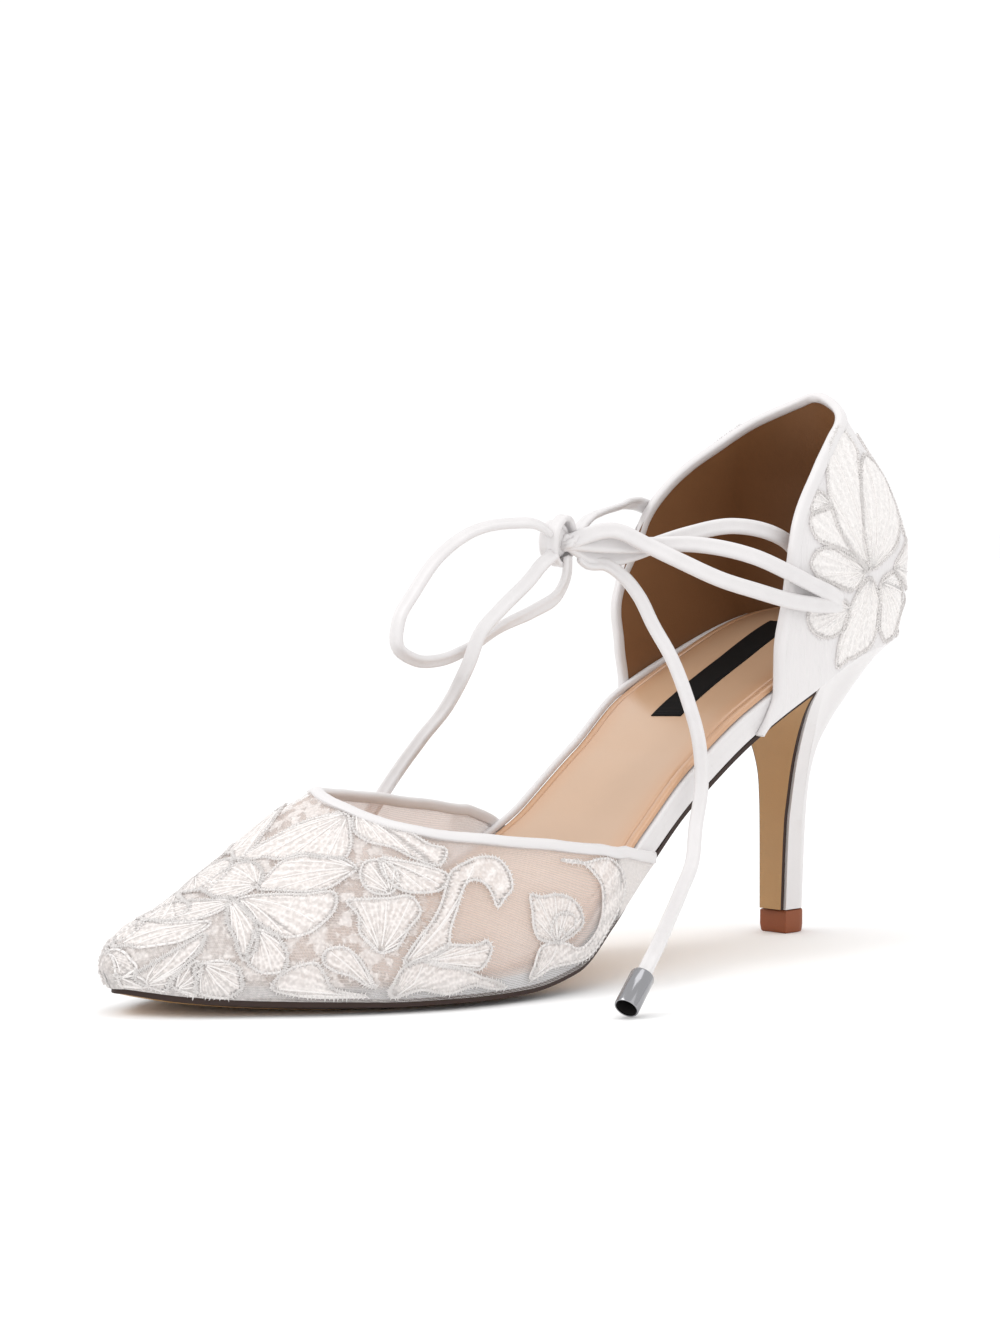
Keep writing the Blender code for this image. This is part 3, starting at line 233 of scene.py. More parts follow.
# Outlines of the embroidery on the vamp: reach in mm and place across in degrees, 0 and 180 being the tops of
# the rim. The first point of each is the foot of its ribs.
VAMP_MOTIFS = {
    "throat_petal": (
        (164.8, 68.4), (166.8, 62.2), (169.4, 55.4), (171.1, 52.9), (175.4, 59.1), (177.9, 66.0),
        (181.4, 70.2), (182.7, 78.1), (184.2, 82.7), (184.9, 90.1), (180.7, 88.8), (176.9, 84.8),
        (172.4, 80.5), (168.6, 75.5)),
    "centre_petal": (
        (171.0, 46.4), (171.7, 51.6), (175.1, 57.2), (178.3, 64.8), (182.0, 68.1), (184.9, 66.1),
        (188.7, 62.4), (185.9, 53.5), (180.9, 45.7), (177.5, 44.0), (174.1, 45.1)),
    "side_petal": (
        (192.5, 61.7), (187.6, 53.5), (182.6, 45.9), (177.2, 40.6), (178.4, 34.7), (181.9, 29.5),
        (185.8, 26.0), (189.0, 26.7), (191.5, 33.7), (193.0, 44.8)),
    "ridge_petal": (
        (188.3, 63.3), (191.0, 62.8), (193.8, 67.7), (195.0, 82.6), (193.1, 93.7), (189.3, 92.5),
        (185.9, 86.9), (184.9, 76.4)),
    "long_petal": (
        (193.7, 62.0), (196.1, 73.6), (198.4, 88.9), (200.5, 104.0), (204.5, 108.0), (206.6, 94.2),
        (205.0, 72.6), (201.1, 61.1), (197.0, 59.8)),
    "toe_petal": (
        (199.5, 53.6), (202.7, 45.0), (206.7, 39.5), (209.8, 41.2), (212.7, 57.6), (213.6, 90.0),
        (211.5, 104.0), (207.5, 92.0), (205.2, 68.5), (201.8, 58.9)),
    "toe_scallop": (
        (215.4, 100.0), (214.6, 78.0), (213.8, 55.0), (213.1, 27.1), (212.7, 5.4), (214.4, -5.0),
        (215.7, 16.8), (215.9, 60.0)),
    "toe_leaf": (
        (216.1, -1.0), (214.4, -4.7), (212.8, -1.7), (211.6, -7.1), (212.6, -15.0), (214.8, -16.0)),
    "front_leaf": (
        (211.8, -11.3), (210.4, 15.3), (207.9, 27.1), (204.4, 37.7), (201.8, 43.6), (203.3, 28.0),
        (206.2, 12.9), (208.4, -3.6), (210.0, -15.5)),
    "front_blade": (
        (207.8, -11.3), (206.2, 9.5), (204.1, 17.3), (203.6, 11.2), (204.7, -3.2), (205.7, -17.9)),
    "wavy_leaf": (
        (194.2, 63.7), (196.6, 51.9), (197.3, 33.9), (196.4, 16.5), (195.6, 19.0), (193.7, 30.3),
        (193.0, 44.8)),
    "round_leaf": (
        (193.3, 35.6), (191.3, 32.0), (190.0, 23.7), (189.7, 14.3), (191.1, 7.1), (193.7, 6.4),
        (195.9, 11.1), (196.3, 19.3), (194.9, 28.3)),
    "low_round": (
        (203.5, 14.7), (201.1, 17.1), (198.3, 12.3), (197.7, 5.2), (198.5, -11.1), (201.1, -18.0),
        (203.4, -16.4), (204.5, -0.2)),
    "bottom_leaf": (
        (173.8, -3.8), (178.3, 3.8), (181.7, 6.7), (183.2, 9.7), (183.5, 12.8), (182.2, 16.9), (179.5, 17.2),
        (176.8, 11.9), (175.5, 6.6)),
    "bottom_blade": (
        (175.6, -13.3), (180.6, -14.5), (186.1, -14.2), (189.6, -11.6), (192.1, -7.8), (191.1, 5.5),
        (187.7, 10.3), (184.8, 10.8), (183.9, 7.2), (180.6, -8.2)),
    "flower_swirl": (
        (166.7, 33.6), (169.9, 35.4), (171.2, 39.4), (170.7, 44.3), (168.9, 47.3), (165.5, 45.9),
        (163.5, 41.6), (163.8, 37.4)),
    "flower_body": (
        (172.3, 13.3), (169.3, 14.0), (165.4, 20.2), (161.5, 26.0), (162.4, 30.3), (167.1, 32.0),
        (172.0, 34.1), (175.7, 35.7), (174.7, 28.9), (175.4, 22.0), (174.0, 16.9)),
    "upper_leaf": (
        (163.1, 67.4), (160.9, 58.0), (156.0, 50.9), (153.2, 44.9), (150.1, 41.8), (153.2, 37.9),
        (158.0, 41.8), (161.6, 48.4), (165.5, 54.3), (166.5, 60.7)),
    "middle_leaf": (
        (165.4, 46.2), (160.8, 42.5), (155.7, 38.1), (152.5, 33.7), (154.3, 31.2), (159.4, 30.8),
        (164.3, 33.9), (166.3, 40.2)),
    "hook_petal": (
        (167.6, 8.4), (163.6, 16.6), (160.8, 19.9), (156.9, 25.4), (153.9, 31.0), (151.7, 34.5),
        (147.2, 36.2), (142.1, 36.2), (137.9, 33.4), (136.5, 28.7), (136.9, 25.6), (140.0, 23.2),
        (142.5, 21.5), (142.9, 25.3), (144.1, 29.0), (146.3, 30.7), (148.6, 30.5), (150.8, 27.8),
        (153.3, 23.3), (155.9, 17.7), (157.1, 13.0), (162.1, 9.8)),
    "tip_leaf": (
        (162.7, 8.4), (157.1, 13.0), (152.7, 12.2), (149.0, 12.0), (147.2, 12.7), (146.1, 10.5),
        (147.3, 6.9), (149.7, 3.8), (153.9, 4.8), (159.6, 6.4)),
    "lower_leaf": (
        (170.0, -14.5), (167.2, 7.6), (162.2, 8.7), (158.2, 6.2), (153.4, 3.8), (148.6, -0.8), (144.3, -9.7),
        (143.0, -14.0), (146.4, -13.0), (151.3, -7.4), (158.2, -13.7), (164.2, -7.4)),
    "crescent": (
        (135.3, -10.0), (134.7, -2.1), (131.8, 6.1), (126.2, 5.5), (122.0, 2.8), (115.8, -4.7),
        (109.8, -4.6), (107.1, 3.5), (107.0, 8.1), (110.3, 16.0), (114.1, 21.6), (120.4, 25.9),
        (112.6, 20.3), (106.0, 16.0), (101.1, 11.4), (97.4, 4.8), (97.0, -10.0), (105.0, -16.0),
        (114.0, -16.0), (121.0, -11.0), (128.5, -6.1)),
    "shell": (
        (126.2, 5.5), (129.3, 7.2), (132.4, 9.7), (133.2, 13.2), (132.8, 17.0), (132.3, 21.4), (129.3, 19.9),
        (124.1, 18.2), (119.4, 14.7), (116.8, 10.3), (116.3, 6.3), (118.9, 5.2), (122.6, 4.9)),
    "shell_swirl": (
        (126.2, 5.5), (127.9, 9.7), (126.0, 12.6), (121.8, 12.1), (118.9, 8.7), (119.9, 6.6), (123.2, 6.6),
        (124.4, 8.9)),
}
# Outlines of the embroidery on the counter: distance round the seat from the back, and height, in mm
COUNTER_MOTIFS = {
    "tall_petal": (
        (44.2, 95.5), (52.8, 101.8), (56.6, 106.5), (58.1, 111.7), (57.5, 116.9), (54.3, 122.6),
        (48.3, 127.1), (41.4, 130.6), (36.3, 132.1), (34.0, 127.7), (39.1, 121.3), (43.0, 113.8),
        (45.3, 106.9), (44.9, 101.1)),
    "back_petal": (
        (43.6, 95.8), (46.2, 101.7), (44.7, 109.2), (42.3, 116.1), (37.6, 121.9), (30.0, 125.0),
        (24.0, 121.0), (25.0, 112.0), (31.3, 103.2), (37.7, 98.6)),
    "left_petal": (
        (45.5, 96.1), (50.8, 100.3), (55.8, 105.9), (57.9, 112.3), (62.0, 111.5), (67.4, 109.3),
        (67.6, 106.7), (65.2, 103.6), (61.1, 102.3), (53.8, 100.4)),
    "small_petal": (
        (58.3, 112.6), (63.2, 111.2), (66.5, 110.7), (66.2, 113.0), (63.0, 115.8), (59.0, 114.6)),
    "low_left_petal": (
        (46.4, 95.3), (53.8, 99.3), (61.7, 101.9), (66.7, 100.5), (68.5, 98.0), (66.7, 95.3), (58.3, 92.2),
        (50.4, 90.8), (46.8, 93.0)),
    "under_petal": (
        (51.5, 85.9), (60.0, 88.5), (67.4, 87.4), (68.5, 84.5), (66.3, 81.3), (61.7, 79.1), (54.7, 79.6),
        (51.3, 82.1)),
    "down_petal": (
        (43.4, 93.5), (49.2, 89.6), (51.7, 85.0), (53.2, 79.2), (54.5, 75.2), (54.8, 71.0), (50.2, 72.7),
        (43.2, 73.9), (38.7, 77.5), (38.7, 84.5), (40.8, 90.5)),
    "far_down_petal": (
        (39.3, 92.2), (38.7, 85.7), (36.7, 79.7), (33.3, 76.4), (27.8, 79.3), (26.8, 85.3), (29.8, 91.3),
        (34.7, 95.0)),
    "high_leaf": (
        (9.5, 103.0), (13.5, 109.0), (16.5, 117.0), (15.0, 125.0), (11.0, 130.0), (8.8, 122.0),
        (8.4, 112.0)),
    "middle_leaf": (
        (24.5, 104.0), (20.5, 109.0), (18.5, 117.0), (19.0, 125.0), (22.0, 130.0), (23.6, 124.0),
        (24.0, 114.0)),
    "low_leaf": (
        (11.0, 89.5), (18.0, 88.0), (25.0, 84.5), (26.0, 78.0), (20.0, 75.0), (13.0, 77.0), (8.6, 83.0)),
    "back_leaf": (
        (34.0, 96.0), (28.0, 101.0), (20.0, 103.0), (12.0, 101.0), (8.0, 96.0), (12.0, 91.5), (20.0, 90.0),
        (28.0, 92.0)),
}
# Embroidery on the line of the back, which the two sides share
BACK_MOTIFS = {
    "back_bloom": (
        (0.0, 95.0), (5.0, 100.0), (8.0, 108.0), (6.5, 117.0), (0.0, 125.0), (-6.5, 117.0), (-8.0, 108.0),
        (-5.0, 100.0)),
    "back_drop": (
        (0.0, 94.0), (-5.0, 89.0), (-6.5, 83.0), (0.0, 78.0), (6.5, 83.0), (5.0, 89.0)),
}


def linear(code):
    """The linear colour of an sRGB hex value."""
    parts = np.array([int(code[k:k + 2], 16) for k in (1, 3, 5)]) / 255
    return tuple(np.where(parts <= 0.04045, parts / 12.92, ((parts + 0.055) / 1.055) ** 2.4).tolist())


# Settings

def size_setting(label, about, default):
    """A length that the user can change."""
    return bpy.props.FloatProperty(name=label, description=about, default=default, min=0.0, precision=5,
                                   unit="LENGTH")


def colour_setting(label, about, code):
    """A colour that the user can change."""
    return bpy.props.FloatVectorProperty(name=label, description=about, default=linear(code), subtype="COLOR",
                                         min=0.0, max=1.0)


class ShoeSizes(bpy.types.PropertyGroup):
    """Sizes of the dressed pieces."""
    lace_width: size_setting("Lace width", "Width of the flattened satin cord", 0.0035)
    lace_thickness: size_setting("Lace thickness", "Thickness of the flattened satin cord", 0.0020)
    outline_width: size_setting("Outline cord", "Width of the cord round each embroidered petal", 0.00062)
    rib_width: size_setting("Rib cord", "Width of the ribs inside each petal", 0.0004)
    fill_height: size_setting("Fill height", "How far the embroidered fill stands above the cloth", 0.00028)
    binding_height: size_setting("Binding height", "How far the binding stands above the wall", 0.0006)
    hole_width: size_setting("Lace hole", "Width of the hole in each side of the counter", 0.0046)
    label_width: size_setting("Label width", "Width of the blank woven label", 0.0096)
    label_length: size_setting("Label length", "Length of the blank woven label", 0.050)


class ShoeColours(bpy.types.PropertyGroup):
    """Colours of the finishes."""
    satin: colour_setting("Satin", "Satin of the counter, heel, edges and lace", "#DEDBDB")
    thread: colour_setting("Thread", "Embroidery thread", "#F4F0EE")
    net: colour_setting("Net", "Outer net of the vamp", "#F3EDEA")
    nude: colour_setting("Inner net", "Skin coloured net behind it", "#FDE7DB")
    lining: colour_setting("Lining", "Lining of the counter", "#855B38")
    sock: colour_setting("Sock", "Sock lining", "#C6A283")
    sole: colour_setting("Sole", "Sole and breast of the heel", "#B58C5A")
    edge: colour_setting("Sole edge", "Inked edge of the sole", "#2E180E")
    block: colour_setting("Top piece", "Block under the heel", "#8A4824")
    label: colour_setting("Label", "Woven label", "#080707")
    metal: colour_setting("Metal", "Lace ends", "#98989B")


# Shapes

def hermite(start, end, leave, arrive, span, t):
    """Cubic from start to end with the slopes leave and arrive over a span, at a share t of the way.

    Each of the four is weighted by its Hermite polynomial of t.
    """
    return (start * (1 + 2 * t) * (1 - t) ** 2 + span * leave * t * (1 - t) ** 2
            + end * t * t * (3 - 2 * t) + span * arrive * t * t * (t - 1))


def smooth(table, which, x):
    """A column of a table, read at a value x of its first column by a monotone cubic.

    The slope at a point is the weighted harmonic mean of the steps beside it, or level at a turn. The values
    at the ends hold past them.
    """
    xs, ys = table[:, 0], table[:, which]
    step = np.diff(xs)
    slope = np.diff(ys) / step
    tangent = np.zeros(len(xs))
    same_way = slope[:-1] * slope[1:] > 0
    before, after = 2 * step[1:] + step[:-1], step[1:] + 2 * step[:-1]
    safe = np.where(same_way, slope[:-1] * slope[1:], 1.0)
    mean = (before + after) * safe / (before * slope[1:] + after * slope[:-1] + 1e-30)
    tangent[1:-1] = np.where(same_way, mean, 0.0)
    tangent[0], tangent[-1] = slope[0], slope[-1]
    x = np.clip(np.asarray(x, float), xs[0], xs[-1])
    i = np.clip(np.searchsorted(xs, x, side="right") - 1, 0, len(step) - 1)
    return hermite(ys[i], ys[i + 1], tangent[i], tangent[i + 1], step[i], (x - xs[i]) / step[i])


def board_share(reach):
    """Share of the board's length at a reach."""
    return (np.asarray(reach, float) + SEAT_OVERHANG) / BOARD_LENGTH


def last(which, reach):
    """A column of LAST at a reach."""
    return smooth(LAST, which, board_share(reach))


def ridge(which, reach):
    """A column of RIDGE at a reach."""
    return smooth(RIDGE, which, board_share(reach))


def underside(reach):
    """Height of the sole's lower face: SEAT_HEIGHT times the rise."""
    return SEAT_HEIGHT * last(RISE, reach)


def layer(reach, depth):
    """Height of a face depth above the sole's lower face: depth is stretched by the slope's secant."""
    step = 0.0005
    slope = (underside(reach + step) - underside(reach - step)) / (2 * step)
    return underside(reach) + depth * np.sqrt(1 + slope * slope)


def board_top(reach):
    """Depth of the board's upper face above the sole's lower face."""
    return BOARD_LOW + BOARD_THICKNESS * last(BOARD, reach)


def rounding(reach, grow):
    """1 along the foot, and an ellipse's height past the centres of the round seat and the round toe."""
    rear = np.clip((SEAT_ROUND - SEAT_OVERHANG - reach) / (SEAT_ROUND + grow), 0, 1)
    toe = np.clip((reach - TOE_REACH + TOE_ROUND) / (TOE_ROUND + grow), 0, 1)
    return np.sqrt(1 - rear ** 2) * np.sqrt(1 - toe ** 2)


def middle(reach):
    """X of the middle of the outline: half the difference of its two sides."""
    return (BALL_LATERAL * last(LATERAL, reach) - BALL_MEDIAL * last(MEDIAL, reach)) / 2


def half_width(reach, grow):
    """Half the width of the board's outline, grown outwards: half the sum of its sides, round at the ends."""
    half = (BALL_LATERAL * last(LATERAL, reach) + BALL_MEDIAL * last(MEDIAL, reach)) / 2
    return (half + grow) * rounding(reach, grow)


def ease(x, low, high):
    """Smooth step from 0 at low to 1 at high: three times the square of the share less twice its cube."""
    t = np.clip((np.asarray(x, float) - low) / (high - low), 0, 1)
    return t * t * (3 - 2 * t)


def unit(vectors):
    """Vectors divided by their length."""
    return vectors / np.maximum(np.linalg.norm(vectors, axis=-1, keepdims=True), 1e-12)


def signed_power(values, power):
    """Sizes of values raised to a power, with the values' signs."""
    return np.sign(values) * np.abs(values) ** power


def run_along(path):
    """Distance along a path to each of its points: the running sum of the steps between them."""
    return np.concatenate([[0], np.cumsum(np.linalg.norm(np.diff(path, axis=0), axis=1))])


def vamp_point(reach, across, grow, drop):
    """Point of the vamp at a reach and a place across in degrees.

    X is the half width times the cosine to a power, and the height is the rim's and then the arch's times the
    sine to that power, 2 by the arch's exponent. Past 0 and 180 degrees the place goes down the rim.
    """
    turn = np.radians(np.clip(across, 0, 180))
    low = np.clip(-across / RIM_SPAN, 0, 1) + np.clip((across - 180) / RIM_SPAN, 0, 1)
    base = layer(reach, BOARD_LOW - RIM_DROP)
    rim = layer(reach, board_top(reach)) - base
    fade = rounding(np.maximum(reach, 0), grow)
    arch = np.maximum((VAMP_HEIGHT * ridge(RIDGE_HEIGHT, reach) - base - rim) * fade - drop, 0)
    power = 2 / ridge(ARCH_POWER, reach)
    x = middle(reach) + half_width(reach, grow) * signed_power(np.cos(turn), power)
    taper = np.clip(CORNER_RIM + (1 - CORNER_RIM) * (reach - VAMP_CORNER) / VAMP_TAPER, 0, 1)
    z = base + rim * taper * (1 - low) + arch * np.sin(turn) ** power
    nose = NOSE * ease(reach, TOE_REACH - NOSE_LENGTH, TOE_REACH) * (1 - 0.8 * low)
    return np.stack([x, -reach - nose, z], -1)


def vamp_top(across):
    """Reach of the vamp's top line at a place across."""
    return smooth(VAMP_TOP, 1, np.clip(across, 0, 180)) * MM


def vamp_outside(reach, across):
    """The vamp's outer face."""
    return vamp_point(reach, across, BOARD_SIDE_GAP + VAMP_WALL, 0.0)


def vamp_inside(reach, across):
    """The vamp's inner face."""
    return vamp_point(reach, across, BOARD_SIDE_GAP, VAMP_WALL)


def seat_outline(side, grow):
    """Distance, x and y along one side of the seat's outline, from the middle of its back forwards."""
    turn = np.linspace(0, math.pi / 2, 120)
    rear_centre = SEAT_ROUND - SEAT_OVERHANG
    rear = rear_centre - (SEAT_ROUND + grow) * np.cos(turn)
    reach = np.concatenate([rear, np.linspace(rear_centre, COUNTER_REACH + 0.02, 160)[1:]])
    x = middle(reach) + side * half_width(reach, grow)
    x[0] = 0.0
    distance = np.concatenate([[0], np.cumsum(np.hypot(np.diff(x), np.diff(-reach)))])
    return distance, x, -reach


def counter_form(which, height):
    """A column of COUNTER_FORM at a height."""
    return smooth(COUNTER_FORM, which, (height - SEAT_HEIGHT) / (COUNTER_TOP - SEAT_HEIGHT))


def counter_point(around, height, grow):
    """Point of the counter at a signed distance round the seat from its back, and a height.

    It is the point of the seat's outline there, widened and leaned forward by what COUNTER_FORM gives, the
    widening less towards the front and the lean only behind the shoulder.
    """
    points = []
    for side in (1, -1):
        distance, x, y = seat_outline(side, grow)
        away = np.abs(around)
        at_x, at_y = np.interp(away, distance, x), np.interp(away, distance, y)
        fade = 1 - FORM_EASE * away / distance[-1]
        at_x = at_x * (1 + (counter_form(WIDENING, height) - 1) * fade)
        behind = (at_y + COUNTER_SHOULDER) / (SEAT_OVERHANG + grow + COUNTER_SHOULDER)
        share = np.clip(behind, 0, 1) ** LEAN_POWER
        at_y = at_y - counter_form(LEAN, height) * (COUNTER_TOP - SEAT_HEIGHT) * share
        points.append(np.stack([at_x, at_y, height], -1))
    return np.where((np.asarray(around) >= 0)[..., None], points[0], points[1])


def counter_outside(around, height):
    """The counter's outer face."""
    return counter_point(around, height, BOARD_SIDE_GAP + COUNTER_WALL)


def counter_low(around):
    """Height of the counter's lower edge at a signed distance round the seat from its back."""
    levels = []
    for side in (1, -1):
        distance, _, y = seat_outline(side, BOARD_SIDE_GAP + COUNTER_WALL)
        levels.append(layer(-np.interp(np.abs(around), distance, y), BOARD_LOW))
    return np.where(np.asarray(around) >= 0, *levels)


def surface_frame(face, a, b, step_a, step_b):
    """Points of a face at places (a, b), and unit normals: the cross product of its steps along a and b."""
    along = unit(face(a + step_a, b) - face(a - step_a, b))
    over = unit(face(a, b + step_b) - face(a, b - step_b))
    return face(a, b), unit(np.cross(along, over))


def vamp_frame(reach, across):
    """Points and outward unit normals of the vamp's outer face."""
    point, normal = surface_frame(vamp_outside, reach, across, 0.0002, 0.2)
    way = point - vamp_inside(reach, across)
    return point, normal * np.where((normal * way).sum(-1, keepdims=True) < 0, -1, 1)


def counter_frame(around, height):
    """Points and outward unit normals of the counter's outer face."""
    point, normal = surface_frame(counter_outside, around, height, 0.0002, 0.0002)
    outwards = point * (1, 1, 0) - (0, 0.004, 0)
    return point, normal * np.where((normal * outwards).sum(-1, keepdims=True) < 0, -1, 1)


# Meshes

def grid_faces(rows, columns):
    """Quads of a grid as numbers of its points."""
    i, j = np.meshgrid(np.arange(rows - 1), np.arange(columns - 1), indexing="ij")
    a = i * columns + j
    return np.stack([a, a + 1, a + columns + 1, a + columns], -1).reshape(-1, 4)


def ring_faces(rings, sides, closed=False):
    """Quads between rings of points, and from the last ring to the first where the path is closed."""
    i, j = np.meshgrid(np.arange(rings if closed else rings - 1), np.arange(sides), indexing="ij")
    k, m = (i + 1) % rings, (j + 1) % sides
    return np.stack([i * sides + j, i * sides + m, k * sides + m, k * sides + j], -1).reshape(-1, 4)


def closed_rings(rings):
    """Points and faces of a solid of rings: quads between them, and strips across the first and the last."""
    count, sides = rings.shape[:2]
    k = np.arange((sides - 1) // 2)
    caps = [np.stack([start + k, start + k + 1, start + sides - 2 - k, start + sides - 1 - k], -1)
            for start in (0, (count - 1) * sides)]
    return rings.reshape(-1, 3), np.concatenate([ring_faces(count, sides), *caps])


def two_faces(outer, inner):
    """Points of a wall: those of its outer grid and then those of its inner one."""
    return np.concatenate([outer.reshape(-1, 3), inner.reshape(-1, 3)])


def on_both(grids):
    """Values of a wall's grid under their names, given to its outer and its inner points."""
    flat = {key: grid.reshape(-1, 3) if grid.ndim == 3 else grid.ravel() for key, grid in grids.items()}
    return {key: np.concatenate([values, values]) for key, values in flat.items()}


def make_piece(name, points, faces, finishes, attributes=None, face_finish=None, sharp=50):
    """A mesh object with its doubles merged, its faces turned outwards, and values kept on its points."""
    mesh = bpy.data.meshes.new(name)
    mesh.from_pydata(points.reshape(-1, 3).tolist(), [], faces.tolist())
    for key, values in (attributes or {}).items():
        kind, field = ("FLOAT", "value") if values.ndim == 1 else ("FLOAT_VECTOR", "vector")
        made = mesh.attributes.new(key, kind, "POINT")
        made.data.foreach_set(field, np.ascontiguousarray(values, np.float32).ravel())
    if face_finish is not None:
        mesh.polygons.foreach_set("material_index", face_finish.astype(np.int32))
    work = bmesh.new()
    work.from_mesh(mesh)
    bmesh.ops.remove_doubles(work, verts=work.verts, dist=MERGE_GAP)
    bmesh.ops.dissolve_degenerate(work, edges=work.edges, dist=MERGE_GAP / 2)
    bmesh.ops.recalc_face_normals(work, faces=work.faces)
    work.to_mesh(mesh)
    work.free()
    mesh.shade_smooth()
    mesh.set_sharp_from_angle(angle=math.radians(sharp))
    piece = bpy.data.objects.new(name, mesh)
    bpy.context.scene.collection.objects.link(piece)
    for finish in finishes if isinstance(finishes, (list, tuple)) else [finishes]:
        mesh.materials.append(finish)
    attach(piece, "root")
    return piece


def run_piece(name, made, finish, sharp=50):
    """A piece of points, faces and the distance along it in mm, which its finish reads as run."""
    points, faces, run = made
    return make_piece(name, points, faces, finish, {"run": run}, sharp=sharp)


def wall_faces(rows, columns, keep=None):
    """Faces of a closed wall between two grids: both grids where keep is true, and a rim along its border."""
    keep = np.ones((rows - 1, columns - 1), bool) if keep is None else keep
    size = rows * columns
    number = np.arange(size).reshape(rows, columns)
    corner = {"a": number[:-1, :-1], "b": number[:-1, 1:], "c": number[1:, 1:], "d": number[1:, :-1]}
    outer = np.stack([corner[k][keep] for k in "abcd"], -1)
    faces = [outer, outer[:, ::-1] + size]
    padded = np.pad(keep, 1)
    near = {"ab": padded[:-2, 1:-1], "bc": padded[1:-1, 2:], "cd": padded[2:, 1:-1], "da": padded[1:-1, :-2]}
    for edge, neighbour in near.items():
        border = keep & ~neighbour
        first, second = corner[edge[0]][border], corner[edge[1]][border]
        faces.append(np.stack([second, first, first + size, second + size], -1))
    counts = (len(outer), len(outer), sum(len(f) for f in faces[2:]))
    return np.concatenate(faces), counts


def even_line(key, spacing, closed=False):
    """Points about spacing apart on a Catmull-Rom curve through key points, by chord length."""
    key = np.asarray(key, float)
    if closed:
        key = np.concatenate([key[-3:], key, key[:3]])
    knots = run_along(key)
    tangent = np.gradient(key, knots, axis=0)
    ends = (knots[3], knots[-3]) if closed else (knots[0], knots[-1])
    at = np.linspace(*ends, max(8, int((ends[1] - ends[0]) / spacing * 3)))
    i = np.clip(np.searchsorted(knots, at, side="right") - 1, 0, len(knots) - 2)
    span = (knots[i + 1] - knots[i])[:, None]
    dense = hermite(key[i], key[i + 1], tangent[i], tangent[i + 1], span, (at - knots[i])[:, None] / span)
    length = run_along(dense)
    count = max(6, round(length[-1] / spacing) + 1)
    even = np.linspace(0, length[-1], count)
    line = np.stack([np.interp(even, length, dense[:, k]) for k in range(dense.shape[1])], -1)
    return line[:-1] if closed else line


def tube(path, face, width, thickness, sides, closed=False, groove=0.0):
    """Points, faces and distance in mm along a flattened tube.

    Each ring is a superellipse of power 2.4 with its thickness along face, lowered along its middle by the
    groove's share. Open ends are closed by rings that shrink to a point on a half circle.
    """
    full = 2.4
    path = np.asarray(path, float)
    face = np.broadcast_to(np.asarray(face, float), path.shape)
    if closed:
        size = np.ones(len(path))
        tangent = unit(np.roll(path, -1, 0) - np.roll(path, 1, 0))
    else:
        radius = thickness / 2
        shrink = np.array([0.0, 0.3, 0.6, 0.85])
        along = radius * (1 - np.sqrt(1 - shrink ** 2))
        first, final = unit(path[1] - path[0]), unit(path[-1] - path[-2])
        path = np.concatenate([path[0] + along[:, None] * first, path[:1] + radius * first, path[1:-1],
                               path[-1:] - radius * final, path[-1] - along[::-1, None] * final])
        face = np.concatenate([np.repeat(face[:1], 4, 0), face, np.repeat(face[-1:], 4, 0)])
        size = np.concatenate([shrink, np.ones(len(path) - 8), shrink[::-1]])
        tangent = unit(np.gradient(path, axis=0))
        tangent[:5], tangent[-5:] = first, final
    across = unit(np.cross(tangent, face))
    out = np.cross(across, tangent)
    turn = np.linspace(0, 2 * math.pi, sides, endpoint=False)
    u = signed_power(np.cos(turn), 2 / full) * width / 2
    v = signed_power(np.sin(turn), 2 / full) * thickness / 2
    v = v * (1 - groove * np.exp(-(np.cos(turn) / 0.3) ** 2))
    points = path[:, None] + size[:, None, None] * (across[:, None] * u[:, None] + out[:, None] * v[:, None])
    faces = ring_faces(len(path), sides, closed)
    return points.reshape(-1, 3), faces, np.repeat(run_along(path) / MM, sides)


def joined(parts):
    """Several (points, faces, values) put together as one."""
    start = np.cumsum([0] + [len(p[0]) for p in parts[:-1]])
    return (np.concatenate([p[0] for p in parts]), np.concatenate([p[1] + s for p, s in zip(parts, start)]),
            np.concatenate([p[2] for p in parts]))


def swept(path, down, out, profile):
    """Points, faces and distance in mm along a solid: a profile, down and out in mm, carried along a path."""
    profile = np.asarray(profile, float) * MM
    points = path[:, None] + down[:, None] * profile[:, :1] + out[:, None] * profile[:, 1:]
    return *closed_rings(points), np.repeat(run_along(path) / MM, len(profile))


# Finishes

def add_node(tree, kind, inputs=None, **settings):
    """Adds a shader node, sets its properties, and sets or links its inputs by name or number."""
    made = tree.nodes.new("ShaderNode" + kind)
    for key, value in settings.items():
        setattr(made, key, value)
    for key, value in (inputs or {}).items():
        if isinstance(value, bpy.types.NodeSocket):
            tree.links.new(value, made.inputs[key])
        else:
            made.inputs[key].default_value = value
    return made


def new_finish(name, colour, roughness, **sockets):
    """A Principled material; returns it with its tree and shader."""
    made = bpy.data.materials.new(name)
    made.use_nodes = True
    shader = made.node_tree.nodes["Principled BSDF"]
    shader.inputs["Base Color"].default_value = (*colour, 1)
    shader.inputs["Roughness"].default_value = roughness
    for key, value in sockets.items():
        shader.inputs[key.replace("_", " ")].default_value = value
    return made, made.node_tree, shader


def place_of(tree):
    """Object coordinates in millimetres."""
    where = add_node(tree, "TexCoord").outputs["Object"]
    return add_node(tree, "VectorMath", {0: where, 1: (1 / MM,) * 3}, operation="MULTIPLY").outputs[0]


def tinted(tree, colour, factor, amount):
    """A colour that a texture darkens by up to an amount."""
    dark = tuple(c * (1 - amount) for c in colour)
    return add_node(tree, "Mix", {0: factor, 6: (*dark, 1), 7: (*colour, 1)}, data_type="RGBA").outputs[2]


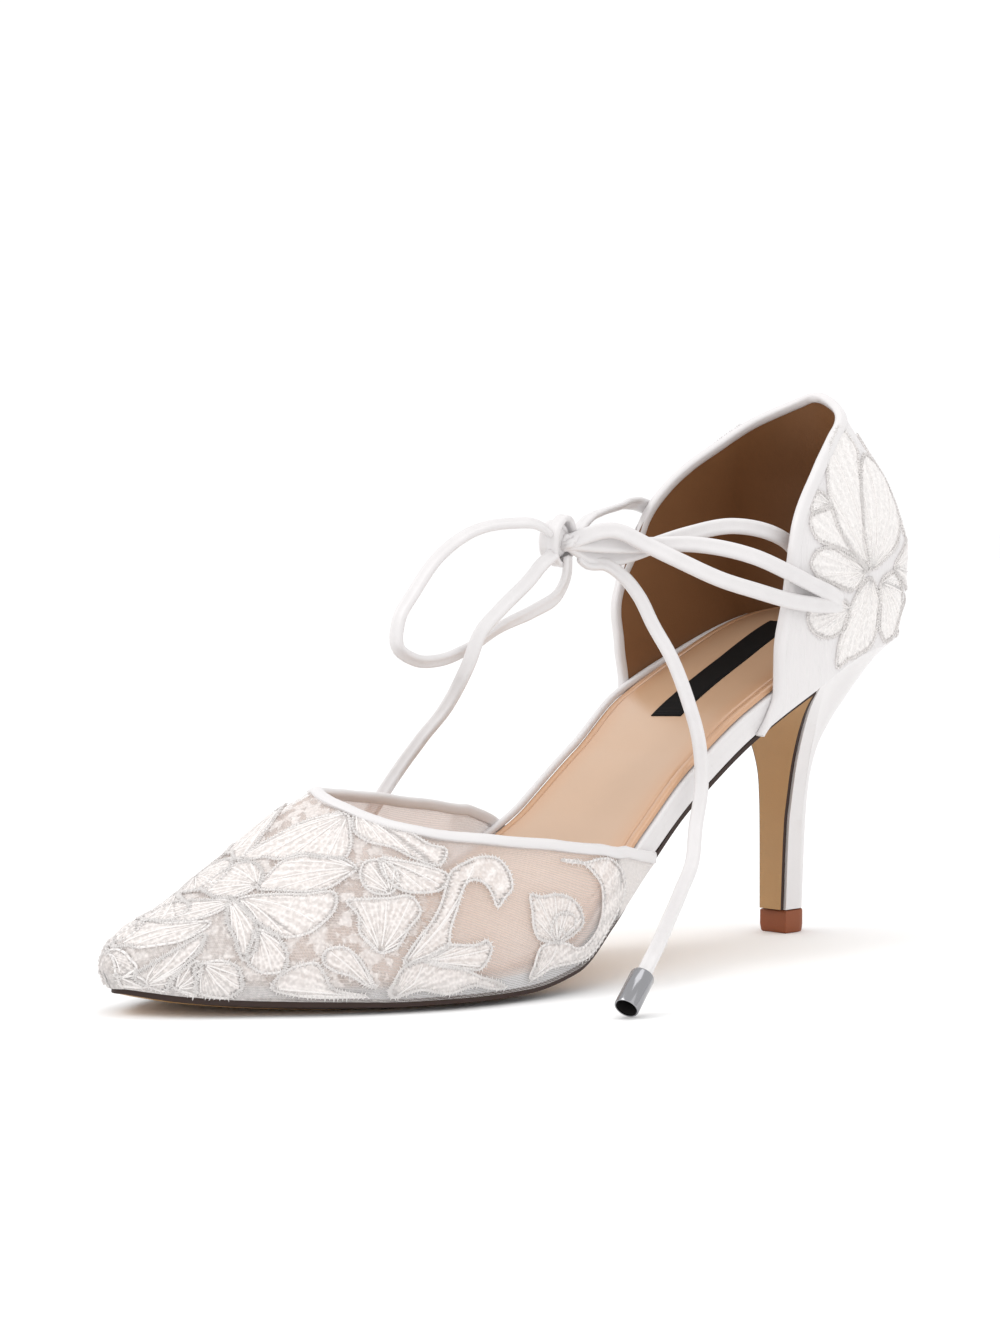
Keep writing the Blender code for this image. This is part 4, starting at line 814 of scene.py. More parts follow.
def warp_threads(tree, where):
    """Satin's warp threads: noise drawn out along them.

    They are 0.1 mm apart and too fine to show, so they are drawn 0.5 mm apart and about 6 mm long.
    """
    drawn = add_node(tree, "VectorMath", {0: where, 1: (2.0, 2.0, 0.16)}, operation="MULTIPLY").outputs[0]
    return add_node(tree, "TexNoise", {"Vector": drawn, "Scale": 1.0, "Detail": 2.0}).outputs["Fac"]


def satin_finish(name, colour, crease):
    """Duchesse satin: floating warp threads give a soft directional gloss and faint soft creases."""
    made, tree, shader = new_finish(name, colour, 0.42, Sheen_Weight=0.25, Sheen_Roughness=0.35,
                                    Specular_IOR_Level=0.55, Coat_Weight=0.12, Coat_Roughness=0.3)
    where = place_of(tree)
    threads = warp_threads(tree, where)
    # Creases about 9 mm apart
    creases = add_node(tree, "TexNoise", {"Vector": where, "Scale": 0.11, "Detail": 2.0}).outputs["Fac"]
    fine = add_node(tree, "Bump", {"Height": threads, "Strength": 0.16, "Distance": 0.0002})
    soft = add_node(tree, "Bump", {"Height": creases, "Strength": crease, "Distance": 0.0015,
                                   "Normal": fine.outputs[0]})
    tree.links.new(soft.outputs[0], shader.inputs["Normal"])
    # Painted shade: the colour darkens by up to 6 % in the creases' hollows
    tree.links.new(tinted(tree, colour, creases, 0.06), shader.inputs["Base Color"])
    return made


def cord_finish(name, colour, pitch, depth):
    """Spun rayon cord: ribs a pitch in millimetres apart lean round it, under a soft sheen."""
    made, tree, shader = new_finish(name, colour, 0.6, Sheen_Weight=0.3, Sheen_Roughness=0.4,
                                    Specular_IOR_Level=0.5)
    run = add_node(tree, "Attribute", attribute_name="run").outputs["Fac"]
    turns = add_node(tree, "Math", {0: run, 1: 2 * math.pi / pitch}, operation="MULTIPLY").outputs[0]
    where = place_of(tree)
    lean = add_node(tree, "SeparateXYZ", {0: where}).outputs["Z"]
    slant = add_node(tree, "Math", {0: lean, 1: 2.2, 2: turns}, operation="MULTIPLY_ADD").outputs[0]
    rib = add_node(tree, "Math", {0: slant}, operation="SINE").outputs[0]
    # Loose fibres about 0.6 mm apart
    fuzz = add_node(tree, "TexNoise", {"Vector": where, "Scale": 1.6, "Detail": 3.0}).outputs["Fac"]
    height = add_node(tree, "Math", {0: fuzz, 1: 1.5, 2: rib}, operation="MULTIPLY_ADD").outputs[0]
    bump = add_node(tree, "Bump", {"Height": height, "Strength": 0.5, "Distance": depth})
    tree.links.new(bump.outputs[0], shader.inputs["Normal"])
    # Painted shade: the colour darkens by up to 12 % where the fibres' noise sinks
    tree.links.new(tinted(tree, colour, fuzz, 0.12), shader.inputs["Base Color"])
    return made


def lace_finish(name, colour):
    """Satin tube pressed flat: a soft sheen, faint threads across it and slow creases along it."""
    made, tree, shader = new_finish(name, colour, 0.4, Sheen_Weight=0.3, Sheen_Roughness=0.35,
                                    Specular_IOR_Level=0.5)
    run = add_node(tree, "Attribute", attribute_name="run").outputs["Fac"]
    # Threads 0.1 mm apart, drawn 0.45 mm apart
    thread = add_node(tree, "Math", {0: run, 1: 2 * math.pi / 0.45}, operation="MULTIPLY").outputs[0]
    thread = add_node(tree, "Math", {0: thread}, operation="SINE").outputs[0]
    where = place_of(tree)
    # Creases about 4 mm apart
    creases = add_node(tree, "TexNoise", {"Vector": where, "Scale": 0.25, "Detail": 2.0}).outputs["Fac"]
    fine = add_node(tree, "Bump", {"Height": thread, "Strength": 0.1, "Distance": 0.00004})
    soft = add_node(tree, "Bump", {"Height": creases, "Strength": 0.35, "Distance": 0.0006,
                                   "Normal": fine.outputs[0]})
    tree.links.new(soft.outputs[0], shader.inputs["Normal"])
    # Painted shade: the colour darkens by up to 8 % in the creases' hollows
    tree.links.new(tinted(tree, colour, creases, 0.08), shader.inputs["Base Color"])
    return made


def stitched_height(tree, where):
    """Height of the fill: rows of stitches 0.9 mm apart that fan from each petal's foot, and grainy knots."""
    fan = add_node(tree, "Attribute", attribute_name="fan").outputs["Fac"]
    rows = add_node(tree, "Math", {0: fan, 1: 2 * math.pi / 0.9}, operation="MULTIPLY").outputs[0]
    rows = add_node(tree, "Math", {0: rows}, operation="SINE").outputs[0]
    # Knotted stitches about 0.8 mm apart
    grain = add_node(tree, "TexVoronoi", {"Vector": where, "Scale": 1.3}, feature="SMOOTH_F1")
    knots = add_node(tree, "Math", {0: grain.outputs["Distance"], 1: -2.4, 2: 1.0},
                     operation="MULTIPLY_ADD").outputs[0]
    return add_node(tree, "Math", {0: rows, 1: 0.35, 2: knots}, operation="MULTIPLY_ADD").outputs[0]


def fill_share(tree):
    """1 inside the embroidered outlines and 0 outside, from the points' signed distance."""
    distance = add_node(tree, "Attribute", attribute_name="edge").outputs["Fac"]
    return add_node(tree, "MapRange", {0: distance, 1: 0.15, 2: -0.15, 3: 0.0, 4: 1.0}).outputs[0]


def net_finish(name, colour, hole, solid, pitch, embroidered):
    """Net: threads a pitch in millimetres apart cross on the slant, with holes that let the inside show.

    Holes and threads hide the shares hole and solid of what lies behind. Threads 0.1 mm thick would not show,
    so they are drawn coarser.
    """
    made, tree, shader = new_finish(name, colour, 0.6, Sheen_Weight=0.2, Sheen_Roughness=0.5,
                                    Specular_IOR_Level=0.3)
    cloth = add_node(tree, "Attribute", attribute_name="cloth").outputs["Vector"]
    split = add_node(tree, "SeparateXYZ", {0: cloth})
    threads = []
    for sign in (1.0, -1.0):
        slant = add_node(tree, "Math", {0: split.outputs[0], 1: sign, 2: split.outputs[1]},
                         operation="MULTIPLY_ADD").outputs[0]
        wave = add_node(tree, "Math", {0: slant, 1: math.pi / pitch}, operation="MULTIPLY").outputs[0]
        wave = add_node(tree, "Math", {0: wave}, operation="SINE").outputs[0]
        threads.append(add_node(tree, "Math", {0: wave}, operation="ABSOLUTE").outputs[0])
    nearest = add_node(tree, "Math", {0: threads[0], 1: threads[1]}, operation="MINIMUM").outputs[0]
    thread = add_node(tree, "MapRange", {0: nearest, 1: 0.25, 2: 0.55, 3: 1.0, 4: 0.0}).outputs[0]
    cover = add_node(tree, "MapRange", {0: thread, 1: 0.0, 2: 1.0, 3: hole, 4: solid}).outputs[0]
    height = thread
    if embroidered:
        where = place_of(tree)
        # Lumps of stitches about 3 mm wide between the petals
        ground = add_node(tree, "Attribute", attribute_name="ground").outputs["Fac"]
        lumps = add_node(tree, "TexNoise", {"Vector": where, "Scale": 0.33, "Detail": 3.0}).outputs["Fac"]
        lumps = add_node(tree, "MapRange", {0: lumps, 1: 0.47, 2: 0.55}).outputs[0]
        lumps = add_node(tree, "Math", {0: lumps, 1: ground}, operation="MULTIPLY").outputs[0]
        share = add_node(tree, "Math", {0: fill_share(tree), 1: lumps}, operation="MAXIMUM").outputs[0]
        stitches = stitched_height(tree, where)
        patch = add_node(tree, "MapRange", {0: stitches, 1: -0.6, 2: 0.6, 3: 0.72, 4: 0.98}).outputs[0]
        plain = add_node(tree, "Attribute", attribute_name="plain").outputs["Fac"]
        dense = add_node(tree, "Attribute", attribute_name="dense").outputs["Fac"]
        cover = add_node(tree, "Mix", {0: dense, 2: cover, 3: patch}).outputs[0]
        cover = add_node(tree, "Mix", {0: share, 2: cover, 3: patch}).outputs[0]
        cover = add_node(tree, "Math", {0: cover, 1: plain}, operation="MAXIMUM").outputs[0]
        height = add_node(tree, "Mix", {0: share, 2: thread, 3: stitches}).outputs[0]
        shade = add_node(tree, "MapRange", {0: stitches, 1: -0.6, 2: 0.8}).outputs[0]
        tree.links.new(tinted(tree, colour, shade, 0.08), shader.inputs["Base Color"])
    else:
        rim = add_node(tree, "Attribute", attribute_name="rim").outputs["Fac"]
        cover = add_node(tree, "Mix", {0: rim, 2: cover, 3: 0.9}).outputs[0]
        # White where the net lies on the covered board's side, and in the satin lined ends of the wings
        white = (*linear("#E6E6E8"), 1)
        tint = add_node(tree, "Mix", {0: rim, 6: (*colour, 1), 7: white}, data_type="RGBA").outputs[2]
        tree.links.new(tint, shader.inputs["Base Color"])
    tree.links.new(cover, shader.inputs["Alpha"])
    bump = add_node(tree, "Bump", {"Height": height, "Strength": 0.7, "Distance": 0.0003})
    tree.links.new(bump.outputs[0], shader.inputs["Normal"])
    return made


def applique_finish(name, colour, thread):
    """Counter satin that carries grainy embroidered petals inside the outlines."""
    made, tree, shader = new_finish(name, colour, 0.42, Sheen_Weight=0.25, Sheen_Roughness=0.4,
                                    Specular_IOR_Level=0.5)
    where = place_of(tree)
    share = fill_share(tree)
    stitches = stitched_height(tree, where)
    height = add_node(tree, "Mix", {0: share, 2: warp_threads(tree, where), 3: stitches}).outputs[0]
    bump = add_node(tree, "Bump", {"Height": height, "Strength": 0.65, "Distance": 0.00035})
    # Creases about 10 mm apart
    creases = add_node(tree, "TexNoise", {"Vector": where, "Scale": 0.1, "Detail": 2.0}).outputs["Fac"]
    soft = add_node(tree, "Bump", {"Height": creases, "Strength": 0.2, "Distance": 0.0015,
                                   "Normal": bump.outputs[0]})
    tree.links.new(soft.outputs[0], shader.inputs["Normal"])
    shade = add_node(tree, "MapRange", {0: stitches, 1: -0.6, 2: 0.8}).outputs[0]
    petal = tinted(tree, thread, shade, 0.14)
    base = add_node(tree, "Mix", {0: share, 6: (*colour, 1), 7: petal}, data_type="RGBA").outputs[2]
    tree.links.new(base, shader.inputs["Base Color"])
    # The stitched thread is more matt than the satin
    gloss = add_node(tree, "MapRange", {0: share, 3: 0.4, 4: 0.68}).outputs[0]
    tree.links.new(gloss, shader.inputs["Roughness"])
    return made


def leather_finish(name, colour, roughness, grain, depth, coat, vary=0.12, painted_edge_shade=False):
    """Finished leather, or a block moulded like it: wrinkles a grain in millimetres wide under a clear coat.

    Its colour varies in clouds about 17 mm wide. With painted edge shade it is darker and browner along its
    edges.
    """
    made, tree, shader = new_finish(name, colour, roughness, Coat_Weight=coat, Coat_Roughness=0.22,
                                    Specular_IOR_Level=0.5)
    where = place_of(tree)
    cells = add_node(tree, "TexVoronoi", {"Vector": where, "Scale": 1 / grain, "Randomness": 1.0},
                     feature="DISTANCE_TO_EDGE").outputs["Distance"]
    cloud = add_node(tree, "TexNoise", {"Vector": where, "Scale": 0.06, "Detail": 4.0}).outputs["Fac"]
    bump = add_node(tree, "Bump", {"Height": cells, "Strength": 0.35, "Distance": depth})
    tree.links.new(bump.outputs[0], shader.inputs["Normal"])
    base = tinted(tree, colour, cloud, vary)
    if painted_edge_shade:
        # Painted shade: the colour turns darker and browner towards the edges that the rim attribute marks
        rim = add_node(tree, "Attribute", attribute_name="rim").outputs["Fac"]
        shaded_edge = tuple(c * share for c, share in zip(colour, (0.97, 0.86, 0.76)))
        base = add_node(tree, "Mix", {0: rim, 6: base, 7: (*shaded_edge, 1)}, data_type="RGBA").outputs[2]
    tree.links.new(base, shader.inputs["Base Color"])
    wear = add_node(tree, "MapRange", {0: cloud, 3: roughness * 0.85, 4: roughness * 1.2}).outputs[0]
    tree.links.new(wear, shader.inputs["Roughness"])
    return made


def woven_finish(name, colour):
    """Damask label: close ribs of fine yarn, nearly matt."""
    made, tree, shader = new_finish(name, colour, 0.7, Specular_IOR_Level=0.12)
    cloth = add_node(tree, "Attribute", attribute_name="cloth").outputs["Vector"]
    # Weft ribs 0.2 mm apart, drawn 0.6 mm apart to show
    ribs = add_node(tree, "TexWave", {"Vector": cloth, "Scale": 0.55, "Distortion": 0.3},
                    bands_direction="Y").outputs["Fac"]
    bump = add_node(tree, "Bump", {"Height": ribs, "Strength": 0.5, "Distance": 0.0002})
    tree.links.new(bump.outputs[0], shader.inputs["Normal"])
    # Painted highlight: the ribs' crests are lighter than their hollows
    light = tuple(min(1.0, c * 1.8 + 0.002) for c in colour)
    base = add_node(tree, "Mix", {0: ribs, 6: (*colour, 1), 7: (*light, 1)}, data_type="RGBA").outputs[2]
    tree.links.new(base, shader.inputs["Base Color"])
    return made


def chrome_finish(name, colour, roughness):
    """Bright chrome plate: a clean mirror with faint traces of polishing about 1 mm apart."""
    made, tree, shader = new_finish(name, colour, roughness, Metallic=1.0)
    where = place_of(tree)
    polish = add_node(tree, "TexNoise", {"Vector": where, "Scale": 0.8, "Detail": 3.0}).outputs["Fac"]
    gloss = add_node(tree, "MapRange", {0: polish, 3: roughness * 0.7, 4: roughness * 1.4}).outputs[0]
    tree.links.new(gloss, shader.inputs["Roughness"])
    bump = add_node(tree, "Bump", {"Height": polish, "Strength": 0.06, "Distance": 0.0002})
    tree.links.new(bump.outputs[0], shader.inputs["Normal"])
    return made


# Stage and camera

class ShoeStage(bpy.types.Operator):
    """Camera at the photograph's angle, soft studio light and a pale floor"""
    bl_idname = "shoe.stage"
    bl_label = "Stage"

    def execute(self, context):
        """The camera looks from 45 degrees on the outer front, 4.5 degrees up."""
        scene = context.scene
        turn, rise = math.radians(CAMERA_TURN), math.radians(CAMERA_RISE)
        back = np.array([math.sin(turn) * math.cos(rise), -math.cos(turn) * math.cos(rise), math.sin(rise)])
        right = np.array([math.cos(turn), math.sin(turn), 0.0])
        up = np.cross(back, right)
        eye = np.array(CAMERA_AIM) + back * CAMERA_DISTANCE
        data = bpy.data.cameras.new("camera")
        data.sensor_width = SENSOR
        data.lens = FOCAL_LENGTH / PHOTO_HEIGHT * SENSOR
        data.shift_x = -(PRINCIPAL_POINT[0] - PHOTO_WIDTH / 2) / PHOTO_HEIGHT
        data.shift_y = (PRINCIPAL_POINT[1] - PHOTO_HEIGHT / 2) / PHOTO_HEIGHT
        data.clip_start, data.clip_end = 0.05, 20.0
        camera = bpy.data.objects.new("camera", data)
        scene.collection.objects.link(camera)
        camera.matrix_world = mathutils.Matrix((
            (right[0], up[0], back[0], eye[0]), (right[1], up[1], back[1], eye[1]),
            (right[2], up[2], back[2], eye[2]), (0, 0, 0, 1)))
        scene.camera = camera

        world = bpy.data.worlds.new("studio")
        world.use_nodes = True
        world.node_tree.nodes["Background"].inputs["Color"].default_value = (*linear("#FFFFFF"), 1)
        world.node_tree.nodes["Background"].inputs["Strength"].default_value = 1.04
        scene.world = world
        scene.view_settings.view_transform = "Standard"
        for name, place, aim, size, power in (
                ("key_softbox", (-0.5, -1.1, 1.3), (0, -0.09, 0.05), 0.7, 7.0),
                ("fill_softbox", (1.4, -0.2, 0.8), (0, -0.09, 0.06), 1.0, 1.5),
                ("top_softbox", (0.1, 0.2, 1.6), (0, -0.09, 0.05), 0.8, 2.5)):
            lamp = bpy.data.lights.new(name, "AREA")
            lamp.energy, lamp.size = power, size
            light = bpy.data.objects.new(name, lamp)
            scene.collection.objects.link(light)
            light.location = place
            away = mathutils.Vector(np.subtract(place, aim))
            light.rotation_euler = away.to_track_quat("Z", "Y").to_euler()

        # Seamless white paper: matt, with the faintest mottle
        white = linear("#FDFDFD")
        paper, tree, shader = new_finish("studio_paper", white, 0.9, Specular_IOR_Level=0.1)
        mottle = add_node(tree, "TexNoise", {"Vector": place_of(tree), "Scale": 0.02}).outputs["Fac"]
        tree.links.new(tinted(tree, white, mottle, 0.01), shader.inputs["Base Color"])
        corners = np.array([(-3, -3, 0), (3, -3, 0), (3, 3, 0), (-3, 3, 0)], float)
        mesh = bpy.data.meshes.new("floor")
        mesh.from_pydata(corners.tolist(), [], [(0, 1, 2, 3)])
        mesh.materials.append(paper)
        floor = bpy.data.objects.new("floor", mesh)
        scene.collection.objects.link(floor)
        return {"FINISHED"}


# Laces

def placed(point):
    """Metres, with the toe along -Y, from millimetres of x, reach and height."""
    return np.array([point[0], -point[1], point[2]]) * MM


def at_knot(toward, sink):
    """Where a cord that comes from a point ends, a sink further in than its solid's end.

    The solid stops on the knot's ellipsoid, stood off so that its flat end clears it.
    """
    size = np.array(KNOT_SIZE) * MM
    way = toward - placed(KNOT_MIDDLE)
    surface = way / np.linalg.norm(way / size)
    normal = unit(surface / size ** 2)
    way = unit(way)
    slant = normal @ way
    stand_off = (CLEARANCE + SOLID_CORD_RADIUS * math.sqrt(1 - slant ** 2)) / slant
    stop = placed(KNOT_MIDDLE) + surface + way * stand_off
    return stop + unit(placed(KNOT_MIDDLE) - stop) * sink


def route(points, knot_first=False, knot_last=False, sink=0.0):
    """A route's points in metres, with its knot end carried a sink into the knot."""
    key = [placed(point) for point in points]
    if knot_first:
        key.insert(0, at_knot(key[0], sink))
    if knot_last:
        key.append(at_knot(key[-1], sink))
    return np.array(key)


class ShoeLaces(bpy.types.Operator):
    """Satin laces: strands from the counter's holes to the knot, a loop and two tails with metal ends"""
    bl_idname = "shoe.laces"
    bl_label = "Laces"

    def execute(self, context):
        """Flattened cords along the routes, a wrapped knot and turned metal ends."""
        sizes, colours = context.scene.shoe_sizes, context.scene.shoe_colours
        satin = lace_finish("satin_lace_cord", colours.satin)
        metal = chrome_finish("polished_chrome_plate", colours.metal, 0.14)
        # Near black finish for the lace ends' bores: painted shade inside their open ends
        shade = leather_finish("painted_shade_tube_bore", linear("#1C1A19"), 0.6, 0.5, 0.00005, 0.0)
        width, thick = sizes.lace_width, sizes.lace_thickness

        # Each strand leaves flat against the wall and turns its face on the way to the knot
        near_strands, far_strands = (NEAR_LOW, NEAR_HIGH, NEAR_INNER), (FAR_HIGH, FAR_LOW)
        for name, node, strands, begin, end in (
                ("near_strands", "lace_near", near_strands, (1, -0.1, 0.1), (0.75, -0.55, 0.35)),
                ("far_strands", "lace_far", far_strands, (-1, -0.1, 0.2), (-0.2, -0.2, 1))):
            parts = []
            for strand in strands:
                line = even_line(route(strand, knot_last=True, sink=STRAND_SINK), CORD_STEP)
                turned = ease(np.linspace(0, 1, len(line)), 0.05, 0.7)[:, None]
                face = unit(np.array(begin) * (1 - turned) + np.array(end) * turned)
                parts.append(tube(line, face, width * STRAND_SPREAD, thick, CORD_SIDES, groove=CORD_GROOVE))
            piece = run_piece(name, joined(parts), satin)
            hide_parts(node)

        knot = build_knot(sizes, satin)
        ends = {"near": build_end("near_lace_end", NEAR_END, metal, shade, "lace_end_near"),
                "far": build_end("far_lace_end", FAR_END, metal, shade, "lace_end_far")}
        loop_path = even_line(route(LOOP, True, True, KNOT_SINK), CORD_STEP)
        # The loop bends the easy way, so its face looks away from its middle
        outward = unit(loop_path - loop_path.mean(0)) * 0.75 + np.array([0.5, -0.45, 0.2])
        self.free_cord("bow_loop", "lace_loop", loop_path, outward, satin, sizes, "object", [knot])
        near = np.concatenate([route(NEAR_TAIL, True, sink=KNOT_SINK), [placed(NEAR_END[0])]])
        self.free_cord("near_tail", "lace_tail_near", even_line(near, CORD_STEP), (0.62, -0.55, 0.55), satin,
                       sizes, "fitting", [ends["near"]])
        far = np.concatenate([route(FAR_TAIL, True, sink=KNOT_SINK), [placed(FAR_END[0])]])
        self.free_cord("far_tail", "lace_tail_far", even_line(far, CORD_STEP), (0.6, -0.62, 0.5), satin,
                       sizes, "fitting", [ends["far"]])
        return {"FINISHED"}

    def free_cord(self, name, node, path, face, satin, sizes, far_end, with_pieces):
        """One cord that replaces its solid."""
        cord = tube(path, face, sizes.lace_width, sizes.lace_thickness, CORD_SIDES, groove=CORD_GROOVE)
        piece = run_piece(name, cord, satin)
        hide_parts(node)


def build_knot(sizes, satin):
    """The bow's knot: flattened turns of cord, each an ellipse about the knot's middle, round a soft core.

    A turn's points are its middle, plus the cosine of the turn times one radius and the sine times the other.
    """
    centre = placed(KNOT_MIDDLE)
    t = np.linspace(0, 2 * math.pi, 49)[:-1, None]
    parts = []
    # Two directions, their radii in mm, the shift of the turn's middle in mm, and its width and thickness as
    # shares of the lace's
    for u, v, a, b, shift, wide, deep in (
            ((-0.25, 0.95, 0), (0.1, 0.05, 1), 4.3, 5.7, (-1.4, 1.2, 0.5), 0.95, 0.95),
            ((-0.1, 1.0, 0.1), (0.2, -0.25, 1), 3.9, 5.0, (-3.0, 2.0, 0.0), 0.9, 0.9)):
        u, v = unit(np.array(u, float)), unit(np.array(v, float))
        ring = (a * np.cos(t) * u + b * np.sin(t) * v) * MM
        parts.append(tube(centre + placed(shift) + ring, unit(ring), sizes.lace_width * wide,
                          sizes.lace_thickness * deep, CORD_SIDES, closed=True, groove=0.35))
    # The core is an ellipsoid
    turn, rise = np.meshgrid(np.linspace(0, 2 * math.pi, 25), np.linspace(-math.pi / 2, math.pi / 2, 17))
    core = np.stack([np.cos(rise) * np.cos(turn), np.cos(rise) * np.sin(turn), np.sin(rise)], -1) * KNOT_CORE
    core = core + KNOT_CORE_SHIFT
    parts.append(((centre + core * MM).reshape(-1, 3), grid_faces(17, 25), (rise * 4).ravel()))
    piece = run_piece("bow_knot", joined(parts), satin)
    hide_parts("lace_knot")
    return piece


def build_end(name, line, metal, shade, node):
    """A turned metal tube on the lace: a profile of radius and distance along it, carried round its axis."""
    start, end = placed(line[0]), placed(line[1])
    axis = unit(end - start)
    side = unit(np.cross(axis, (0, 0, 1.0)))
    over = np.cross(axis, side)
    outer, length = END_WIDTH / 2 / MM, END_LENGTH / MM
    # In mm: closed where the lace enters, a rolled lip at the other end, and then the bore, whose dark is
    # painted shade
    profile = np.array([
        (0.0, 0.05), (1.9, 0.05), (outer - 0.55, 0.1), (outer - 0.2, 0.3), (outer, 0.75),
        (outer, length * 0.5), (outer, length - 0.35), (outer - 0.08, length - 0.1), (outer - 0.25, length),
        (outer - 0.4, length - 0.1), (outer - 0.45, length - 0.4), (outer - 0.5, length - 2.2),
        (outer - 0.55, length - 4.3), (0.0, length - 4.4)]) * MM
    bore_bands, sides = 3, 48
    # The bore's last bands take the near black finish: painted shade
    dark = np.arange(len(profile) - 1) >= len(profile) - 1 - bore_bands
    turn = np.linspace(0, 2 * math.pi, sides + 1)
    ring = np.cos(turn)[:, None] * side + np.sin(turn)[:, None] * over
    points = start + profile[:, 1][:, None, None] * axis + profile[:, 0][:, None, None] * ring
    faces = grid_faces(len(profile), sides + 1)
    piece = make_piece(name, points, faces, [metal, shade], face_finish=np.repeat(dark, sides).astype(int),
                       sharp=35)
    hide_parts(node)
    return piece


# Embroidery

def outlines_on(motifs, face_frame, mirrored):
    """Each outline's places, points and normals on a face, evenly spaced, also mirrored to the other side."""
    on_vamp = face_frame is vamp_frame
    stretch = (1.0, DEGREE_WIDTH if on_vamp else 1.0)
    found = []
    for places in motifs.values():
        for mirror in ((False, True) if mirrored else (False,)):
            key = np.array(places, float)
            if mirror and on_vamp:
                key[:, 1] = 180 - key[:, 1]
            elif mirror:
                key[:, 0] = -key[:, 0]
            line = even_line(key * stretch, OUTLINE_STEP, closed=True) / stretch
            if on_vamp:
                a = np.minimum(line[:, 0], LAST_MOTIF_REACH) * MM
                b = np.clip(line[:, 1], 1 - RIM_SPAN, 179 + RIM_SPAN)
                base = key[:1] * (MM, 1)
            else:
                a = line[:, 0] * MM
                b = np.maximum(line[:, 1] * MM, counter_low(a) + EMBROIDERY_MARGIN)
                base = key[:1] * MM
            point, normal = face_frame(a, b)
            foot, foot_normal = face_frame(base[:, 0], base[:, 1])
            found.append({"line": np.stack([a, b], -1), "points": point, "normals": normal, "base": base[0],
                          "foot": foot[0], "foot_normal": foot_normal[0]})
    return found


def held_by(line, a, b):
    """Whether places lie inside a closed line of places: even-odd counting of crossings."""
    x0, y0 = line[:, 0], line[:, 1]
    x1, y1 = np.roll(x0, -1), np.roll(y0, -1)
    crosses = (y0 > b[:, None]) != (y1 > b[:, None])
    slope = (x1 - x0) / np.where(y1 == y0, 1e-12, y1 - y0)
    return (crosses & (a[:, None] < slope * (b[:, None] - y0) + x0)).sum(1) % 2 == 1


def fill_values(outlines, a, b, points):
    """Signed distance to the nearest outline in mm, below 0 inside, and a fan number at a grid's points.

    The fan number is the angle round the foot of the petal that holds the point, times FAN_RADIUS.
    """
    margin = 0.0015
    flat = points.reshape(-1, 3)
    pa, pb = a.ravel(), b.ravel()
    nearest = np.full(len(flat), 1.0)
    inside = np.zeros(len(flat), bool)
    fan = np.zeros(len(flat))
    for outline in outlines:
        line, ring = outline["line"], outline["points"]
        low, high = ring.min(0) - margin, ring.max(0) + margin
        near = np.flatnonzero(((flat > low) & (flat < high)).all(1))
        if not len(near):
            continue
        gap = np.linalg.norm(flat[near, None] - ring[None], axis=-1).min(1)
        nearest[near] = np.minimum(nearest[near], gap)
        held = held_by(line, pa[near], pb[near])
        inside[near[held]] = True
        normal = outline["foot_normal"]
        along = unit(np.cross(normal, (0.3, 0.2, 1.0)))
        way = flat[near[held]] - outline["foot"]
        fan[near[held]] = np.arctan2(way @ np.cross(normal, along), way @ along) * FAN_RADIUS
    distance = nearest / MM * np.where(inside, -1, 1)
    return distance.reshape(a.shape), fan.reshape(a.shape)


def cording(outlines, face_frame, sizes, count):
    """Tubes along each outline, and a count of thinner ribs that run from its foot towards places on it.

    A rib is straight in the face's own places, from RIB_START to RIB_END of the way, and stops where it would
    leave the outline. Ribs under 3 mm long are left out.
    """
    lift = sizes.fill_height
    parts = []
    for outline in outlines:
        path = outline["points"] + outline["normals"] * lift
        parts.append(tube(path - outline["normals"] * 0.0001, outline["normals"], sizes.outline_width,
                          sizes.outline_width * 0.8, 6, closed=True))
        for k in np.linspace(0, len(path), count + 2)[1:-1].astype(int):
            target = outline["line"][k]
            line = outline["base"] + np.linspace(RIB_START, RIB_END, 16)[:, None] * (target - outline["base"])
            outside = ~held_by(outline["line"], line[:, 0], line[:, 1])
            stop = np.flatnonzero(outside[2:])[0] + 1 if outside[2:].any() else len(line)
            point, normal = face_frame(line[:stop, 0], line[:stop, 1])
            if stop < 8 or np.linalg.norm(point[-1] - point[0]) < 0.003:
                continue
            parts.append(tube(point + normal * lift, normal, sizes.rib_width, sizes.rib_width, 5))
    return joined(parts)


def stitching(outlines, seed):
    """Short stitches across each outline: spindles of four sides that start inside and end outside.

    A stitch's rings lie at shares s of its reach to both sides of the outline, raised along the normal by a
    parabola in s.
    """
    chance = np.random.default_rng(seed)
    parts = []
    s = np.array([-1.0, -0.5, 0.4, 1.0])
    size = np.array([0.0, 1.0, 1.0, 0.0])
    for outline in outlines:
        path, normal = outline["points"], outline["normals"]
        along = unit(np.roll(path, -1, 0) - np.roll(path, 1, 0))
        step = max(1, round(STITCH_STEP / np.linalg.norm(path[1] - path[0])))
        path, normal, along = path[::step], normal[::step], along[::step]
        count = len(path)
        way = unit(np.cross(normal, along) + along * chance.normal(0, STITCH_LEAN, (count, 1)))
        reach = chance.uniform(0.0005, 0.0012, (count, 1, 1))
        spine = path[:, None] + way[:, None] * s[:, None] * reach
        spine = spine + normal[:, None] * (0.0006 - 0.0004 * s ** 2)[:, None]
        side = unit(np.cross(way, normal))
        ring = np.stack([side, normal, -side, -normal], 1) * STITCH_HALF
        points = spine[:, :, None] + size[:, None, None] * ring[:, None]
        base = np.arange(count)[:, None, None] * 16
        faces = (base + ring_faces(4, 4)).reshape(-1, 4)
        parts.append((points.reshape(-1, 3), faces, chance.uniform(0, 50, count * 16)))
    return joined(parts)


# Upper

